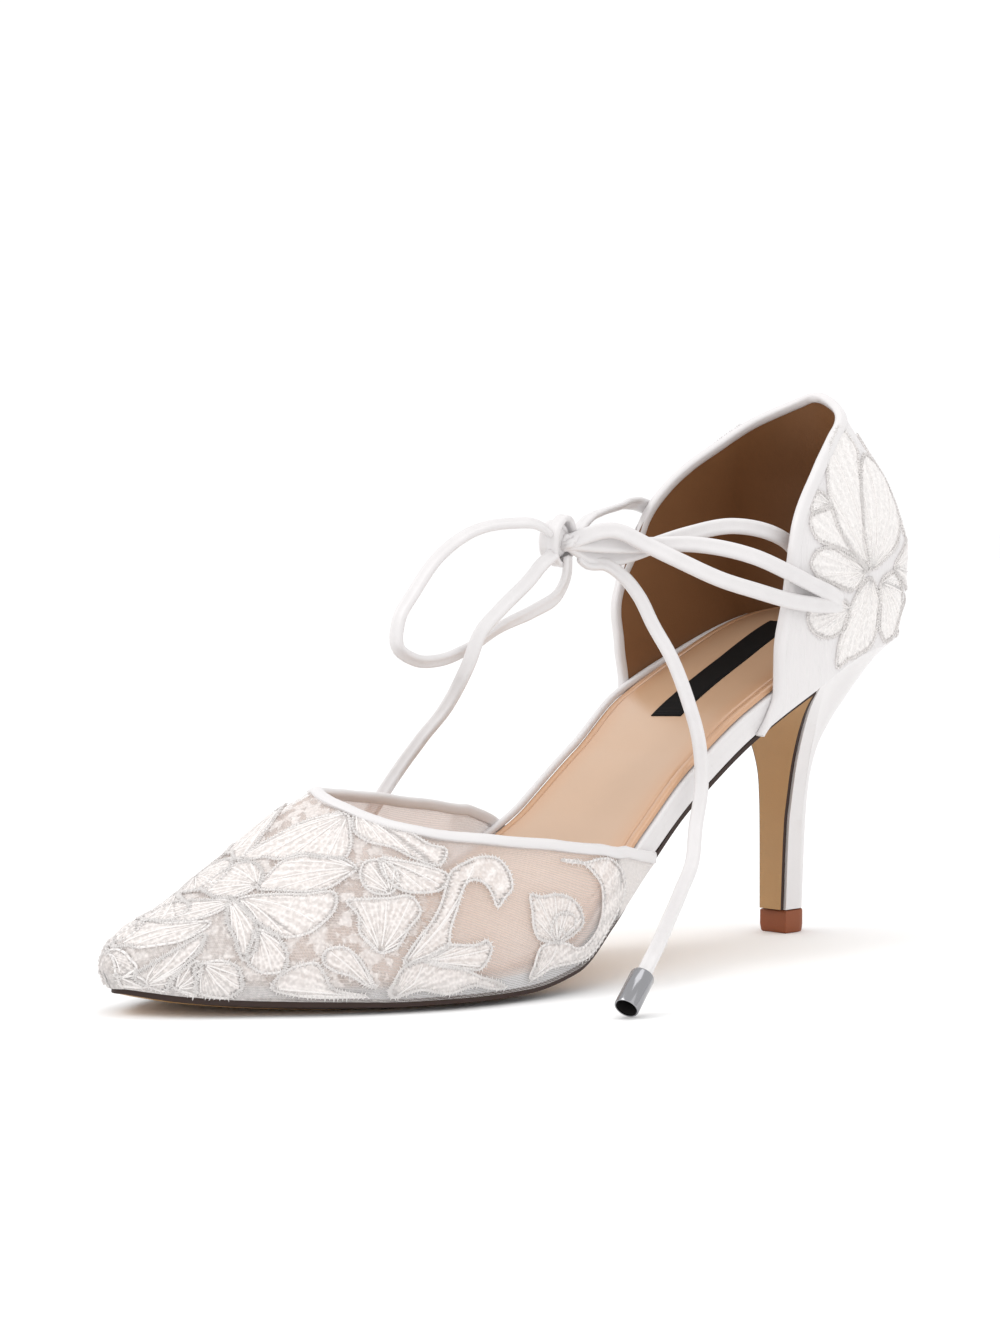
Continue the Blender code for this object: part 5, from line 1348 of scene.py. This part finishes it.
# Sections of the bindings: distance down from the edge and out from the wall's outer face, in mm
VAMP_BINDING = np.array([
    (2.5, -0.1), (2.5, 0.42), (2.25, 0.60), (1.6, 0.66), (0.9, 0.62), (0.2, 0.46), (-0.25, 0.12),
    (-0.42, -0.40), (-0.38, -0.95), (-0.12, -1.40), (0.4, -1.62), (1.2, -1.66), (1.9, -1.60), (2.2, -1.45),
    (2.3, -1.1), (2.4, -0.6)])
# The counter's wall is thicker
COUNTER_BINDING = np.array([
    (2.5, -0.1), (2.5, 0.42), (2.25, 0.60), (1.6, 0.66), (0.9, 0.60), (0.2, 0.42), (-0.15, 0.08),
    (-0.32, -0.50), (-0.30, -1.15), (-0.10, -1.65), (0.3, -1.88), (1.0, -1.92), (1.7, -1.88), (2.0, -1.7),
    (2.1, -1.4), (2.3, -0.8)])


class ShoeVamp(bpy.types.Operator):
    """Vamp of embroidered net over skin coloured net, with a satin binding"""
    bl_idname = "shoe.vamp"
    bl_label = "Vamp"

    def execute(self, context):
        """The net, the cords and stitches over it, and the binding along its top line."""
        sizes, colours = context.scene.shoe_sizes, context.scene.shoe_colours
        outlines = outlines_on(VAMP_MOTIFS, vamp_frame, True)
        reach, places = self.places()
        self.net(sizes, colours, outlines, reach, places)

        thread = cord_finish("rayon_embroidery_cord", colours.thread, 0.7, 0.00008)
        cords = run_piece("vamp_cording", cording(outlines, vamp_frame, sizes, 7), thread)
        stitches = run_piece("vamp_stitches", stitching(outlines, 3), thread)
        self.binding(colours, reach[0], places[0])
        return {"FINISHED"}

    def places(self):
        """Reach and place across of a grid over the vamp.

        From the top line the reach grows evenly to the toe's centre, and then as the sine of equal turns.
        """
        rows, columns, toe_rows, rim_columns = 200, 200, 24, 8
        rim = np.linspace(0, RIM_SPAN, rim_columns + 1)[1:]
        across = np.concatenate([-rim[::-1], np.linspace(0, 180, columns - 2 * rim_columns), 180 + rim])
        top = vamp_top(across)
        centre, end = TOE_REACH - TOE_ROUND, TOE_REACH + BOARD_SIDE_GAP + VAMP_WALL
        bend = centre + (end - centre) * np.sin(np.linspace(0, math.pi / 2, toe_rows + 1)[1:])
        body = top + (centre - top) * np.linspace(0, 1, rows - toe_rows)[:, None]
        reach = np.concatenate([body, np.broadcast_to(bend[:, None], (toe_rows, columns))])
        return reach, np.broadcast_to(across, reach.shape)

    def net(self, sizes, colours, outlines, reach, places):
        """A thin wall from the top line to the toe, raised inside the petals: white net over nude net."""
        net = net_finish("embroidered_net", colours.net, 0.10, 0.46, 0.55, True)
        nude = net_finish("skin_coloured_net", colours.nude, 0.50, 0.72, 0.45, False)
        # Normals are taken a little short of the toe's end, where the two nearest sections still differ
        _, normal = vamp_frame(np.minimum(reach, TOE_REACH + 0.0013), places)
        outside = vamp_outside(reach, places)
        inside = vamp_inside(np.minimum(reach, TOE_REACH + BOARD_SIDE_GAP), places)
        distance, fan = fill_values(outlines, reach, places, outside)
        outside = outside + normal * (sizes.fill_height * ease(-distance, 0.0, FILL_EDGE))[..., None]
        lining = inside + (outside - inside) * LINING_DEPTH

        # The cloth's own places in mm: across it from the ridge, and its reach
        rows, columns = reach.shape
        step = np.linalg.norm(np.diff(outside, axis=1), axis=-1)
        over = np.concatenate([np.zeros((rows, 1)), np.cumsum(step, axis=1)], 1)
        over = (over - over[:, columns // 2:columns // 2 + 1]) / MM
        cloth = np.stack([over, reach / MM, np.zeros_like(over)], -1)
        # Satin lined ends of the wings: nothing shows through the outer one, and light through the inner one
        plain = ease(WING_LINING - reach, -0.0015, 0.0015) * np.where(places > 90, INNER_WING, 1.0)
        # Closer embroidery towards the toe
        dense = 0.3 * ease(reach, 0.158, 0.178) + 0.45 * ease(reach, 0.186, 0.205)
        rim = ease(np.abs(places - 90), 91, 96)
        ground = 0.85 * ease(reach, 0.150, 0.172) * (1 - rim)
        faces, counts = wall_faces(rows, columns)
        values = on_both({"edge": distance, "fan": fan, "plain": plain, "cloth": cloth, "dense": dense,
                          "rim": np.maximum(rim, plain), "ground": ground})
        piece = make_piece("vamp_net", two_faces(outside, lining), faces, [net, nude], values,
                           np.repeat([0, 1, 0], counts))
        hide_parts("vamp")

    def binding(self, colours, top, across):
        """The taped top line: the binding's section carried along it."""
        satin = satin_finish("binding_satin", colours.satin, 0.1)
        path, normal = vamp_frame(top, across)
        down = np.cross(normal, unit(np.gradient(path, axis=0)))
        ahead = vamp_outside(top + 0.002, across) - path
        down = unit(down * np.where((down * ahead).sum(-1, keepdims=True) < 0, -1, 1))
        tape = run_piece("vamp_binding", swept(path, down, normal, VAMP_BINDING), satin, sharp=60)


class ShoeCounter(bpy.types.Operator):
    """Heel counter of satin with embroidered petals, leather lining, binding and worked lace holes"""
    bl_idname = "shoe.counter"
    bl_label = "Counter"

    def execute(self, context):
        """The wall, the cords and stitches over it, the binding round its free edges, and the lace holes."""
        sizes, colours = context.scene.shoe_sizes, context.scene.shoe_colours
        outlines = (outlines_on(COUNTER_MOTIFS, counter_frame, True)
                    + outlines_on(BACK_MOTIFS, counter_frame, False))
        around, height, edge = self.places(121, 85)
        _, normal = counter_frame(around, height)
        outside = counter_outside(around, height)
        self.wall(sizes, colours, outlines, around, height, outside, normal)

        thread = cord_finish("counter_embroidery_cord", colours.thread, 0.7, 0.00008)
        cords = run_piece("counter_cording", cording(outlines, counter_frame, sizes, 6), thread)
        stitches = run_piece("counter_stitches", stitching(outlines, 5), thread)
        self.binding(colours, outside[edge], normal[edge])
        self.worked_holes(sizes, thread)
        return {"FINISHED"}

    def wall(self, sizes, colours, outlines, around, height, outside, normal):
        """A wall round the heel between its front edges, raised inside the petals, with the hole open."""
        outer = applique_finish("counter_satin", colours.satin, colours.thread)
        lining = leather_finish("counter_lining_leather", colours.lining, 0.55, 0.55, 0.00012, 0.05, 0.2)
        distance, fan = fill_values(outlines, around, height, outside)
        inside = outside - normal * COUNTER_WALL
        raised = outside + normal * (sizes.fill_height * ease(-distance, 0.0, FILL_EDGE))[..., None]
        cell = (outside[:-1, :-1] + outside[1:, 1:]) / 2
        from_hole = np.hypot(cell[..., 1] + HOLE_REACH, cell[..., 2] - HOLE_HEIGHT)
        # The inner side's laces leave from between its satin and lining, so only the outer side is pierced
        keep = (from_hole > sizes.hole_width / 2) | (cell[..., 0] < 0)
        faces, counts = wall_faces(*around.shape, keep)
        piece = make_piece("counter_wall", two_faces(raised, inside), faces, [outer, lining],
                           on_both({"edge": distance, "fan": fan}), np.repeat([0, 1, 1], counts))
        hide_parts("counter")

    def binding(self, colours, path, out):
        """The taped edges: the binding's section carried round them, narrower towards the lower corners."""
        satin = satin_finish("counter_binding_satin", colours.satin, 0.1)
        down = np.cross(out, unit(np.gradient(path, axis=0)))
        # Down is the side of the edge on which the wall's middle lies
        inward = (0, 0.002, 0.092) - path * (0, 1, 1)
        down = unit(down * np.sign((down * inward).sum(-1).mean()))
        run = run_along(path)
        narrow = 0.3 + 0.7 * ease(np.minimum(run, run[-1] - run), 0.001, 0.009)
        section = swept(path, down * narrow[:, None], out, COUNTER_BINDING)
        tape = run_piece("counter_binding", section, satin, sharp=60)

    def places(self, columns, rows):
        """Signed distance round the seat and height of a grid over the counter, and its border's numbers.

        On each side the distance goes from the low edge's to the top line's by the front edge's share, and
        the height grows evenly. The border runs up one front edge, along the top line and down the other.
        """
        grow = BOARD_SIDE_GAP + COUNTER_WALL
        share = np.linspace(0, 1, columns)
        up = np.linspace(0, 1, rows)
        halves = []
        for side, which in ((1, 1), (-1, 2)):
            distance, _, y = seat_outline(side, grow)
            corner = np.interp(COUNTER_REACH, -y, distance)
            shoulder = np.interp(COUNTER_SHOULDER, -y, distance)
            low, top = corner * (1 - share), shoulder * (1 - share)
            drop = smooth(TOP_LINE, 1, 1 - share)
            top_height = COUNTER_TOP - (COUNTER_TOP - SHOULDER_HEIGHT) * drop
            low_height = counter_low(side * low)
            height = low_height[:, None] + (top_height - low_height)[:, None] * up
            toward = smooth(FRONT_EDGE, which, up)
            around = side * (low[:, None] + (top - low)[:, None] * toward)
            halves.append((around, height))
        around = np.concatenate([halves[0][0], halves[1][0][-2::-1]])
        height = np.concatenate([halves[0][1], halves[1][1][-2::-1]])
        count = len(around)
        border = ([(0, k) for k in range(rows)] + [(k, rows - 1) for k in range(1, count)]
                  + [(count - 1, k) for k in range(rows - 2, -1, -1)])
        return around, height, tuple(np.array(border).T)

    def worked_holes(self, sizes, thread):
        """A ring of close stitches round each lace hole: a torus with 24 small waves along it."""
        parts = []
        turn = np.linspace(0, 2 * math.pi, 73)[:-1]
        radius = sizes.hole_width / 2
        for side in (1, -1):
            around = np.linspace(0.03, 0.06, 61) * side
            level = counter_outside(around, np.full(61, HOLE_HEIGHT))
            k = np.abs(level[:, 1] + HOLE_REACH).argmin()
            a = around[k] + radius * np.cos(turn)
            b = HOLE_HEIGHT + radius * np.sin(turn)
            point, normal = counter_frame(a, b)
            wave = 0.0001 * np.cos(turn * 24)
            raised = point + normal * (0.0003 + wave)[:, None]
            parts.append(tube(raised, normal, 0.0013, 0.0009, 8, closed=True))
        piece = run_piece("worked_lace_holes", joined(parts), thread)


# Bottom

class ShoeSole(bpy.types.Operator):
    """Outsole with its breast flap, satin covered board, sock lining and blank label"""
    bl_idname = "shoe.sole"
    bl_label = "Sole"

    def execute(self, context):
        """Layers that follow the last's bottom."""
        sizes, colours = context.scene.shoe_sizes, context.scene.shoe_colours
        self.outsole(colours)
        self.board(colours)
        self.sock(colours)
        self.label(sizes, colours)
        return {"FINISHED"}

    def outsole(self, colours):
        """A strip between an inner and an outer row of places, from the toe to the breast and down it."""
        sole = leather_finish("sole_leather", colours.sole, 0.5, 0.7, 0.0001, 0.12)
        edge = leather_finish("inked_sole_edge", colours.edge, 0.65, 0.6, 0.00005, 0.0)
        inner, outer, half, centre = outsole_rows()
        share = np.concatenate([[-1, -0.992], np.linspace(-0.97, 0.97, 61), [0.992, 1]])
        x = centre[:, None] + half[:, None] * share
        begin = ease(outer[:, :1], CAMBER_START, CAMBER_START + CAMBER_LENGTH)
        bulge = np.minimum(SOLE_CAMBER * begin * half[:, None] / half.max(), outer[:, 1:])
        fall = np.clip(2 * np.abs(share) - 1, 0, 1) ** 2
        rows, columns = x.shape
        # The upper face leaves room for the board's cover, but not behind the breast
        tuck = cover_tuck(outer[:, :1]) * (outer[:, :1] > BREAST_REACH + 0.004)
        top = np.stack([x, np.broadcast_to(-inner[:, :1], x.shape),
                        np.broadcast_to(inner[:, 1:] - tuck, x.shape)], -1)
        low = np.stack([x, np.broadcast_to(-outer[:, :1], x.shape), outer[:, 1:] - bulge * (1 - fall)], -1)
        faces, counts = wall_faces(rows, columns)
        which = np.repeat([0, 0, 1], counts)
        # The ink also covers a border of the lower face, wider ahead of the waist, and of the upper one
        out = np.broadcast_to(np.abs(share[:-1] + share[1:]) / 2, (rows - 1, columns - 1)).ravel()
        ahead = np.repeat(ease(outer[:-1, 0], CAMBER_START, CAMBER_START + CAMBER_LENGTH), columns - 1)
        which[:counts[0]] = out > 0.955 - 0.13 * ahead
        which[counts[0]:2 * counts[0]] = out > 0.9
        piece = make_piece("outsole_strip", two_faces(low, top), faces, [sole, edge], None, which, sharp=35)
        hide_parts("outsole")

    def board(self, colours):
        """The covered board and its roll: each section of the board is a superellipse of power 12."""
        satin = satin_finish("board_cover_satin", colours.satin, 0.15)
        reach = foot_reaches(0.0, 150)
        half = half_width(reach, 0.0)
        low, top = layer(reach, BOARD_LOW - cover_tuck(reach)), layer(reach, board_top(reach))
        turn = np.linspace(0, 2 * math.pi, 97)
        wide, high = signed_power(np.cos(turn), 1 / 6), signed_power(np.sin(turn), 1 / 6)
        x = middle(reach)[:, None] + half[:, None] * wide
        z = ((low + top) / 2)[:, None] + ((top - low) / 2)[:, None] * high
        grid = np.stack([x, np.broadcast_to(-reach[:, None], x.shape), z], -1)
        piece = make_piece("covered_board", grid, grid_faces(*x.shape), satin)
        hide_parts("insole_board")
        self.cover_roll(satin)

    def cover_roll(self, satin):
        """The cover's roll beside the inner side of the sock: a tube that sinks away inside the counter."""
        reach = np.linspace(-0.010, 0.112, 120)
        sink = ROLL_DROP * ease(-reach, -COUNTER_REACH - 0.002, 0.006)
        path = np.stack([middle(reach) - half_width(reach, -ROLL_INSET), -reach,
                         layer(reach, board_top(reach) + ROLL_RISE - sink)], -1)
        roll = run_piece("rolled_cover_edge", tube(path, (0, 0, 1), ROLL_WIDTH, ROLL_WIDTH, 14), satin)

    def sock(self, colours):
        """The sock: flat, with an edge rounded as a quarter circle, and an embossed line along it."""
        # The last argument paints shade along the sock's edges
        tan = leather_finish("sock_leather", colours.sock, 0.3, 0.8, 0.00001, 0.8, 0.08, True)
        reach = foot_reaches(-SOCK_INSET, 170)
        half = half_width(reach, -SOCK_INSET)
        # Columns lie close together over the rounding and the line
        steps = np.array([0, 0.15, 0.4, 0.8, 1.3, 1.9, 2.2, 2.4, 2.6, 2.8, 3.0, 3.4]) * MM
        inset = steps * np.minimum(1, half[:, None] / 0.006)
        inner = half - inset[:, -1]
        left = -(half[:, None] - inset)
        share = np.linspace(-1, 1, 61)[1:-1]
        offset = np.concatenate([left, inner[:, None] * share, -left[:, ::-1]], 1)
        from_edge = half[:, None] - np.abs(offset)
        low = layer(reach, board_top(reach) + CLEARANCE)
        thick = SOCK_THICKNESS * np.sqrt(1 - (1 - np.clip(from_edge / SOCK_ROUND, 0, 1)) ** 2)
        groove = 0.0005 * np.exp(-((from_edge - SOCK_LINE) / 0.00028) ** 2)
        ends = np.clip(half / 0.006, 0, 1)[:, None]
        x = middle(reach)[:, None] + offset
        y = np.broadcast_to(-reach[:, None], x.shape)
        base = np.broadcast_to(low[:, None], x.shape)
        top = np.stack([x, y, base + thick - groove * ends], -1)
        bottom = np.stack([x, y, base], -1)
        faces, _ = wall_faces(*x.shape)
        # Share of painted edge shade: full at the edge, fading out 10 mm in
        rim = 1 - ease(from_edge, 0.0005, 0.0100)
        piece = make_piece("sock_cover", two_faces(top, bottom), faces, tan, on_both({"rim": rim}), sharp=60)
        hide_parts("sock_lining")

    def label(self, sizes, colours):
        """The blank woven label: a thin strip along the middle of the seat, with turned edges."""
        black = woven_finish("woven_label", colours.label)
        front = np.array(LABEL_FRONT)
        rear = front + unit(np.array(LABEL_WAY)) * sizes.label_length
        along, over = np.meshgrid(np.linspace(0, 1, 60), np.linspace(-1, 1, 17), indexing="ij")
        way = unit(rear - front)
        side = np.array([-way[1], way[0]])
        place = front + along[..., None] * (rear - front) + over[..., None] * side * sizes.label_width / 2
        reach = place[..., 1]
        rise = layer(reach, board_top(reach) + CLEARANCE + SOCK_THICKNESS)
        hem = 0.00012 * np.exp(-((np.abs(over) - 0.9) / 0.06) ** 2)
        border = np.minimum(1 - np.abs(over), (0.5 - np.abs(along - 0.5)) * 12)
        height = 0.00028 * ease(border, 0.0, 0.08) + hem
        top = np.stack([place[..., 0], -reach, rise + height + 0.00002], -1)
        bottom = np.stack([place[..., 0], -reach, rise - 0.0002], -1)
        faces, _ = wall_faces(*over.shape)
        cloth = np.stack([over * sizes.label_width / 2 / MM, along * sizes.label_length / MM,
                          np.zeros_like(over)], -1)
        piece = make_piece("blank_label", two_faces(top, bottom), faces, black, on_both({"cloth": cloth}))


def cover_tuck(reach):
    """How far the board's cover comes down over the sole's edge: none from the ball forwards."""
    return COVER_TUCK * ease(-reach, -CAMBER_START - 0.02, -CAMBER_START)


def foot_reaches(grow, count):
    """Reaches from the rear to the toe, with equal turns of the arcs at its two round ends."""
    start, end = -SEAT_OVERHANG - grow, TOE_REACH + grow
    rear = start + (SEAT_ROUND + grow) * (1 - np.cos(np.linspace(0, math.pi / 2, 24)[:-1]))
    toe = end - (TOE_ROUND + grow) * (1 - np.sin(np.linspace(0, math.pi / 2, 18)[1:]))
    return np.concatenate([rear, np.linspace(SEAT_ROUND - SEAT_OVERHANG, TOE_REACH - TOE_ROUND, count), toe])


def seat_ring(count):
    """Outline of the heel's upper face, from its outer front corner round the back to the inner one."""
    grow = BOARD_SIDE_GAP + COUNTER_WALL
    halves = []
    for side in (1, -1):
        distance, x, y = seat_outline(side, grow)
        front = np.interp(BREAST_REACH, -y, distance)
        d = front * (1 - np.linspace(0, 1, count // 2 + 1))
        halves.append(np.stack([np.interp(d, distance, x), np.interp(d, distance, y)], -1))
    ring = np.concatenate([halves[0], halves[1][-2::-1]])
    return np.column_stack([ring, layer(-ring[:, 1], SOLE_THICKNESS + SEAT_LIFT)])


def tip_outline(count, grow, height):
    """D of the heel's tip: a half circle behind and a straight front."""
    turn = np.linspace(0, math.pi, count)
    half = TIP_WIDTH / 2 + grow
    front = -TIP_DEPTH / 2 - grow
    y = np.where(np.abs(np.cos(turn)) > 0.9999, front, TIP_DEPTH / 2 - TIP_WIDTH / 2 + half * np.sin(turn))
    return np.stack([half * np.cos(turn), y, np.full(count, height)], -1)


def heel_ring(up, seat, tip):
    """One level of the heel: the tip's outline opened towards the seat's by the flare.

    Round the outline the flare goes from the side's and the front's to the back's by a sine to a power.
    """
    back, side, front = (smooth(FLARE, k, up) for k in (1, 2, 3))
    behind = np.sin(np.linspace(0, math.pi, len(seat))) ** 0.7
    x = tip[:, 0] + (seat[:, 0] - tip[:, 0]) * (side + (back - side) * behind)
    y = tip[:, 1] + (seat[:, 1] - tip[:, 1]) * (front + (back - front) * behind)
    return np.stack([x, y, tip[:, 2] + (seat[:, 2] - tip[:, 2]) * up], -1)


def outsole_rows():
    """Inner and outer places of the sole strip as reach and height, its half widths and its middle."""
    seat, tip = seat_ring(25), tip_outline(25, 0.0, TOP_PIECE_HEIGHT + CLEARANCE)
    corner_reach = BREAST_REACH + CLEARANCE
    toe = TOE_REACH + SOLE_EDGE
    reach = np.concatenate([np.linspace(corner_reach + 0.001, toe - TOE_ROUND, 150),
                            toe - TOE_ROUND * (1 - np.sin(np.linspace(0, math.pi / 2, 18)[1:]))])[::-1]
    # Set in from the board's edge in the waist, and out past it from the ball on
    ahead_of_waist = ease(reach - corner_reach, WAIST_LENGTH / 2, WAIST_LENGTH)
    grow = (SOLE_EDGE + WAIST_INSET) * ahead_of_waist - WAIST_INSET
    levels = np.linspace(0.985, 0.0, 60)
    breast = []
    for up in levels:
        ring = heel_ring(up, seat, tip)
        outer_x, inner_x = ring[0, 0], ring[-1, 0]
        breast.append((-ring[0, 1], ring[0, 2], (outer_x - inner_x) / 2, (outer_x + inner_x) / 2))
    breast = np.array(breast)
    run = unit(np.gradient(breast[:, :2], axis=0))
    ahead = np.stack([-run[:, 1], run[:, 0]], -1)
    flap_inner = breast[:, :2] + ahead * CLEARANCE
    flap_outer = flap_inner + ahead * FLAP_THICKNESS * ease(1 - levels, -0.2, 0.25)[:, None] ** 0.3
    inner = np.concatenate([np.stack([reach, layer(reach, SOLE_THICKNESS)], -1), flap_inner])
    outer = np.concatenate([np.stack([reach, underside(reach)], -1), flap_outer])
    # The lower face is cut short where it would pass the flap's front
    stop = flap_outer[:6, 0].max()
    under = slice(0, len(reach))
    outer[under, 0] = np.maximum(outer[under, 0], stop)
    outer[under, 1] = underside(outer[under, 0])
    half = np.concatenate([half_width(reach, grow), breast[:, 2] - FLAP_INSET])
    centre = np.concatenate([middle(reach), breast[:, 3]])
    return inner, outer, half, centre


class ShoeHeel(bpy.types.Operator):
    """Satin covered stiletto heel and its top piece"""
    bl_idname = "shoe.heel"
    bl_label = "Heel"

    def execute(self, context):
        """Levels of the D section from the tip to the seat, closed above and below."""
        colours = context.scene.shoe_colours
        count = 97
        seat, tip = seat_ring(count), tip_outline(count, 0.0, TOP_PIECE_HEIGHT + CLEARANCE)
        rings = np.array([heel_ring(up, seat, tip) for up in np.linspace(0, 1, 110)])
        points, faces = closed_rings(rings)
        satin = satin_finish("heel_cover_satin", colours.satin, 0.12)
        piece = make_piece("covered_heel", points, faces, satin, sharp=38)
        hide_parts("heel")
        block = leather_finish("moulded_top_piece", colours.block, 0.6, 0.6, 0.00006, 0.0)
        # Height and growth of each level: a small chamfer below and above
        levels = ((0.0, -0.0004), (0.0001, -0.0002), (0.0004, 0.0), (0.0020, 0.0002), (0.0040, 0.0002),
                  (0.0056, 0.0002), (0.0059, 0.0), (0.0060, -0.0002))
        rings = np.array([tip_outline(count, grow, height) for height, grow in levels])
        points, faces = closed_rings(rings)
        piece = make_piece("heel_top_piece", points, faces, block, sharp=38)
        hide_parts("top_piece")
        return {"FINISHED"}


# Panel and registration

class ShoePanel(bpy.types.Panel):
    """Sizes, colours and steps of the shoe"""
    bl_idname = "VIEW3D_PT_shoe"
    bl_label = "Lace up court shoe"
    bl_space_type = "VIEW_3D"
    bl_region_type = "UI"
    bl_category = "Shoe"

    def draw(self, context):
        """Lists the settings, then one button for each step."""
        for group in (context.scene.shoe_sizes, context.scene.shoe_colours):
            box = self.layout.box()
            for key in group.__annotations__:
                box.prop(group, key)
        for step in STEPS:
            self.layout.operator(step.bl_idname)


STEPS = (ShoeStage, ShoeLaces, ShoeSole, ShoeHeel, ShoeCounter, ShoeVamp)
CLASSES = (ShoeSizes, ShoeColours, *STEPS, ShoePanel)


def register():
    """Registers the classes and puts the settings on the scene."""
    for kind in CLASSES:
        bpy.utils.register_class(kind)
    bpy.types.Scene.shoe_sizes = bpy.props.PointerProperty(type=ShoeSizes)
    bpy.types.Scene.shoe_colours = bpy.props.PointerProperty(type=ShoeColours)


def unregister():
    """Takes the settings and the classes away again."""
    del bpy.types.Scene.shoe_sizes
    del bpy.types.Scene.shoe_colours
    for kind in reversed(CLASSES):
        bpy.utils.unregister_class(kind)


def main():
    """Builds every step in order."""
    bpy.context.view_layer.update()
    register()
    bpy.ops.shoe.stage()
    bpy.ops.shoe.laces()
    bpy.ops.shoe.sole()
    bpy.ops.shoe.heel()
    bpy.ops.shoe.counter()
    bpy.ops.shoe.vamp()


if __name__ == "__main__":
    main()
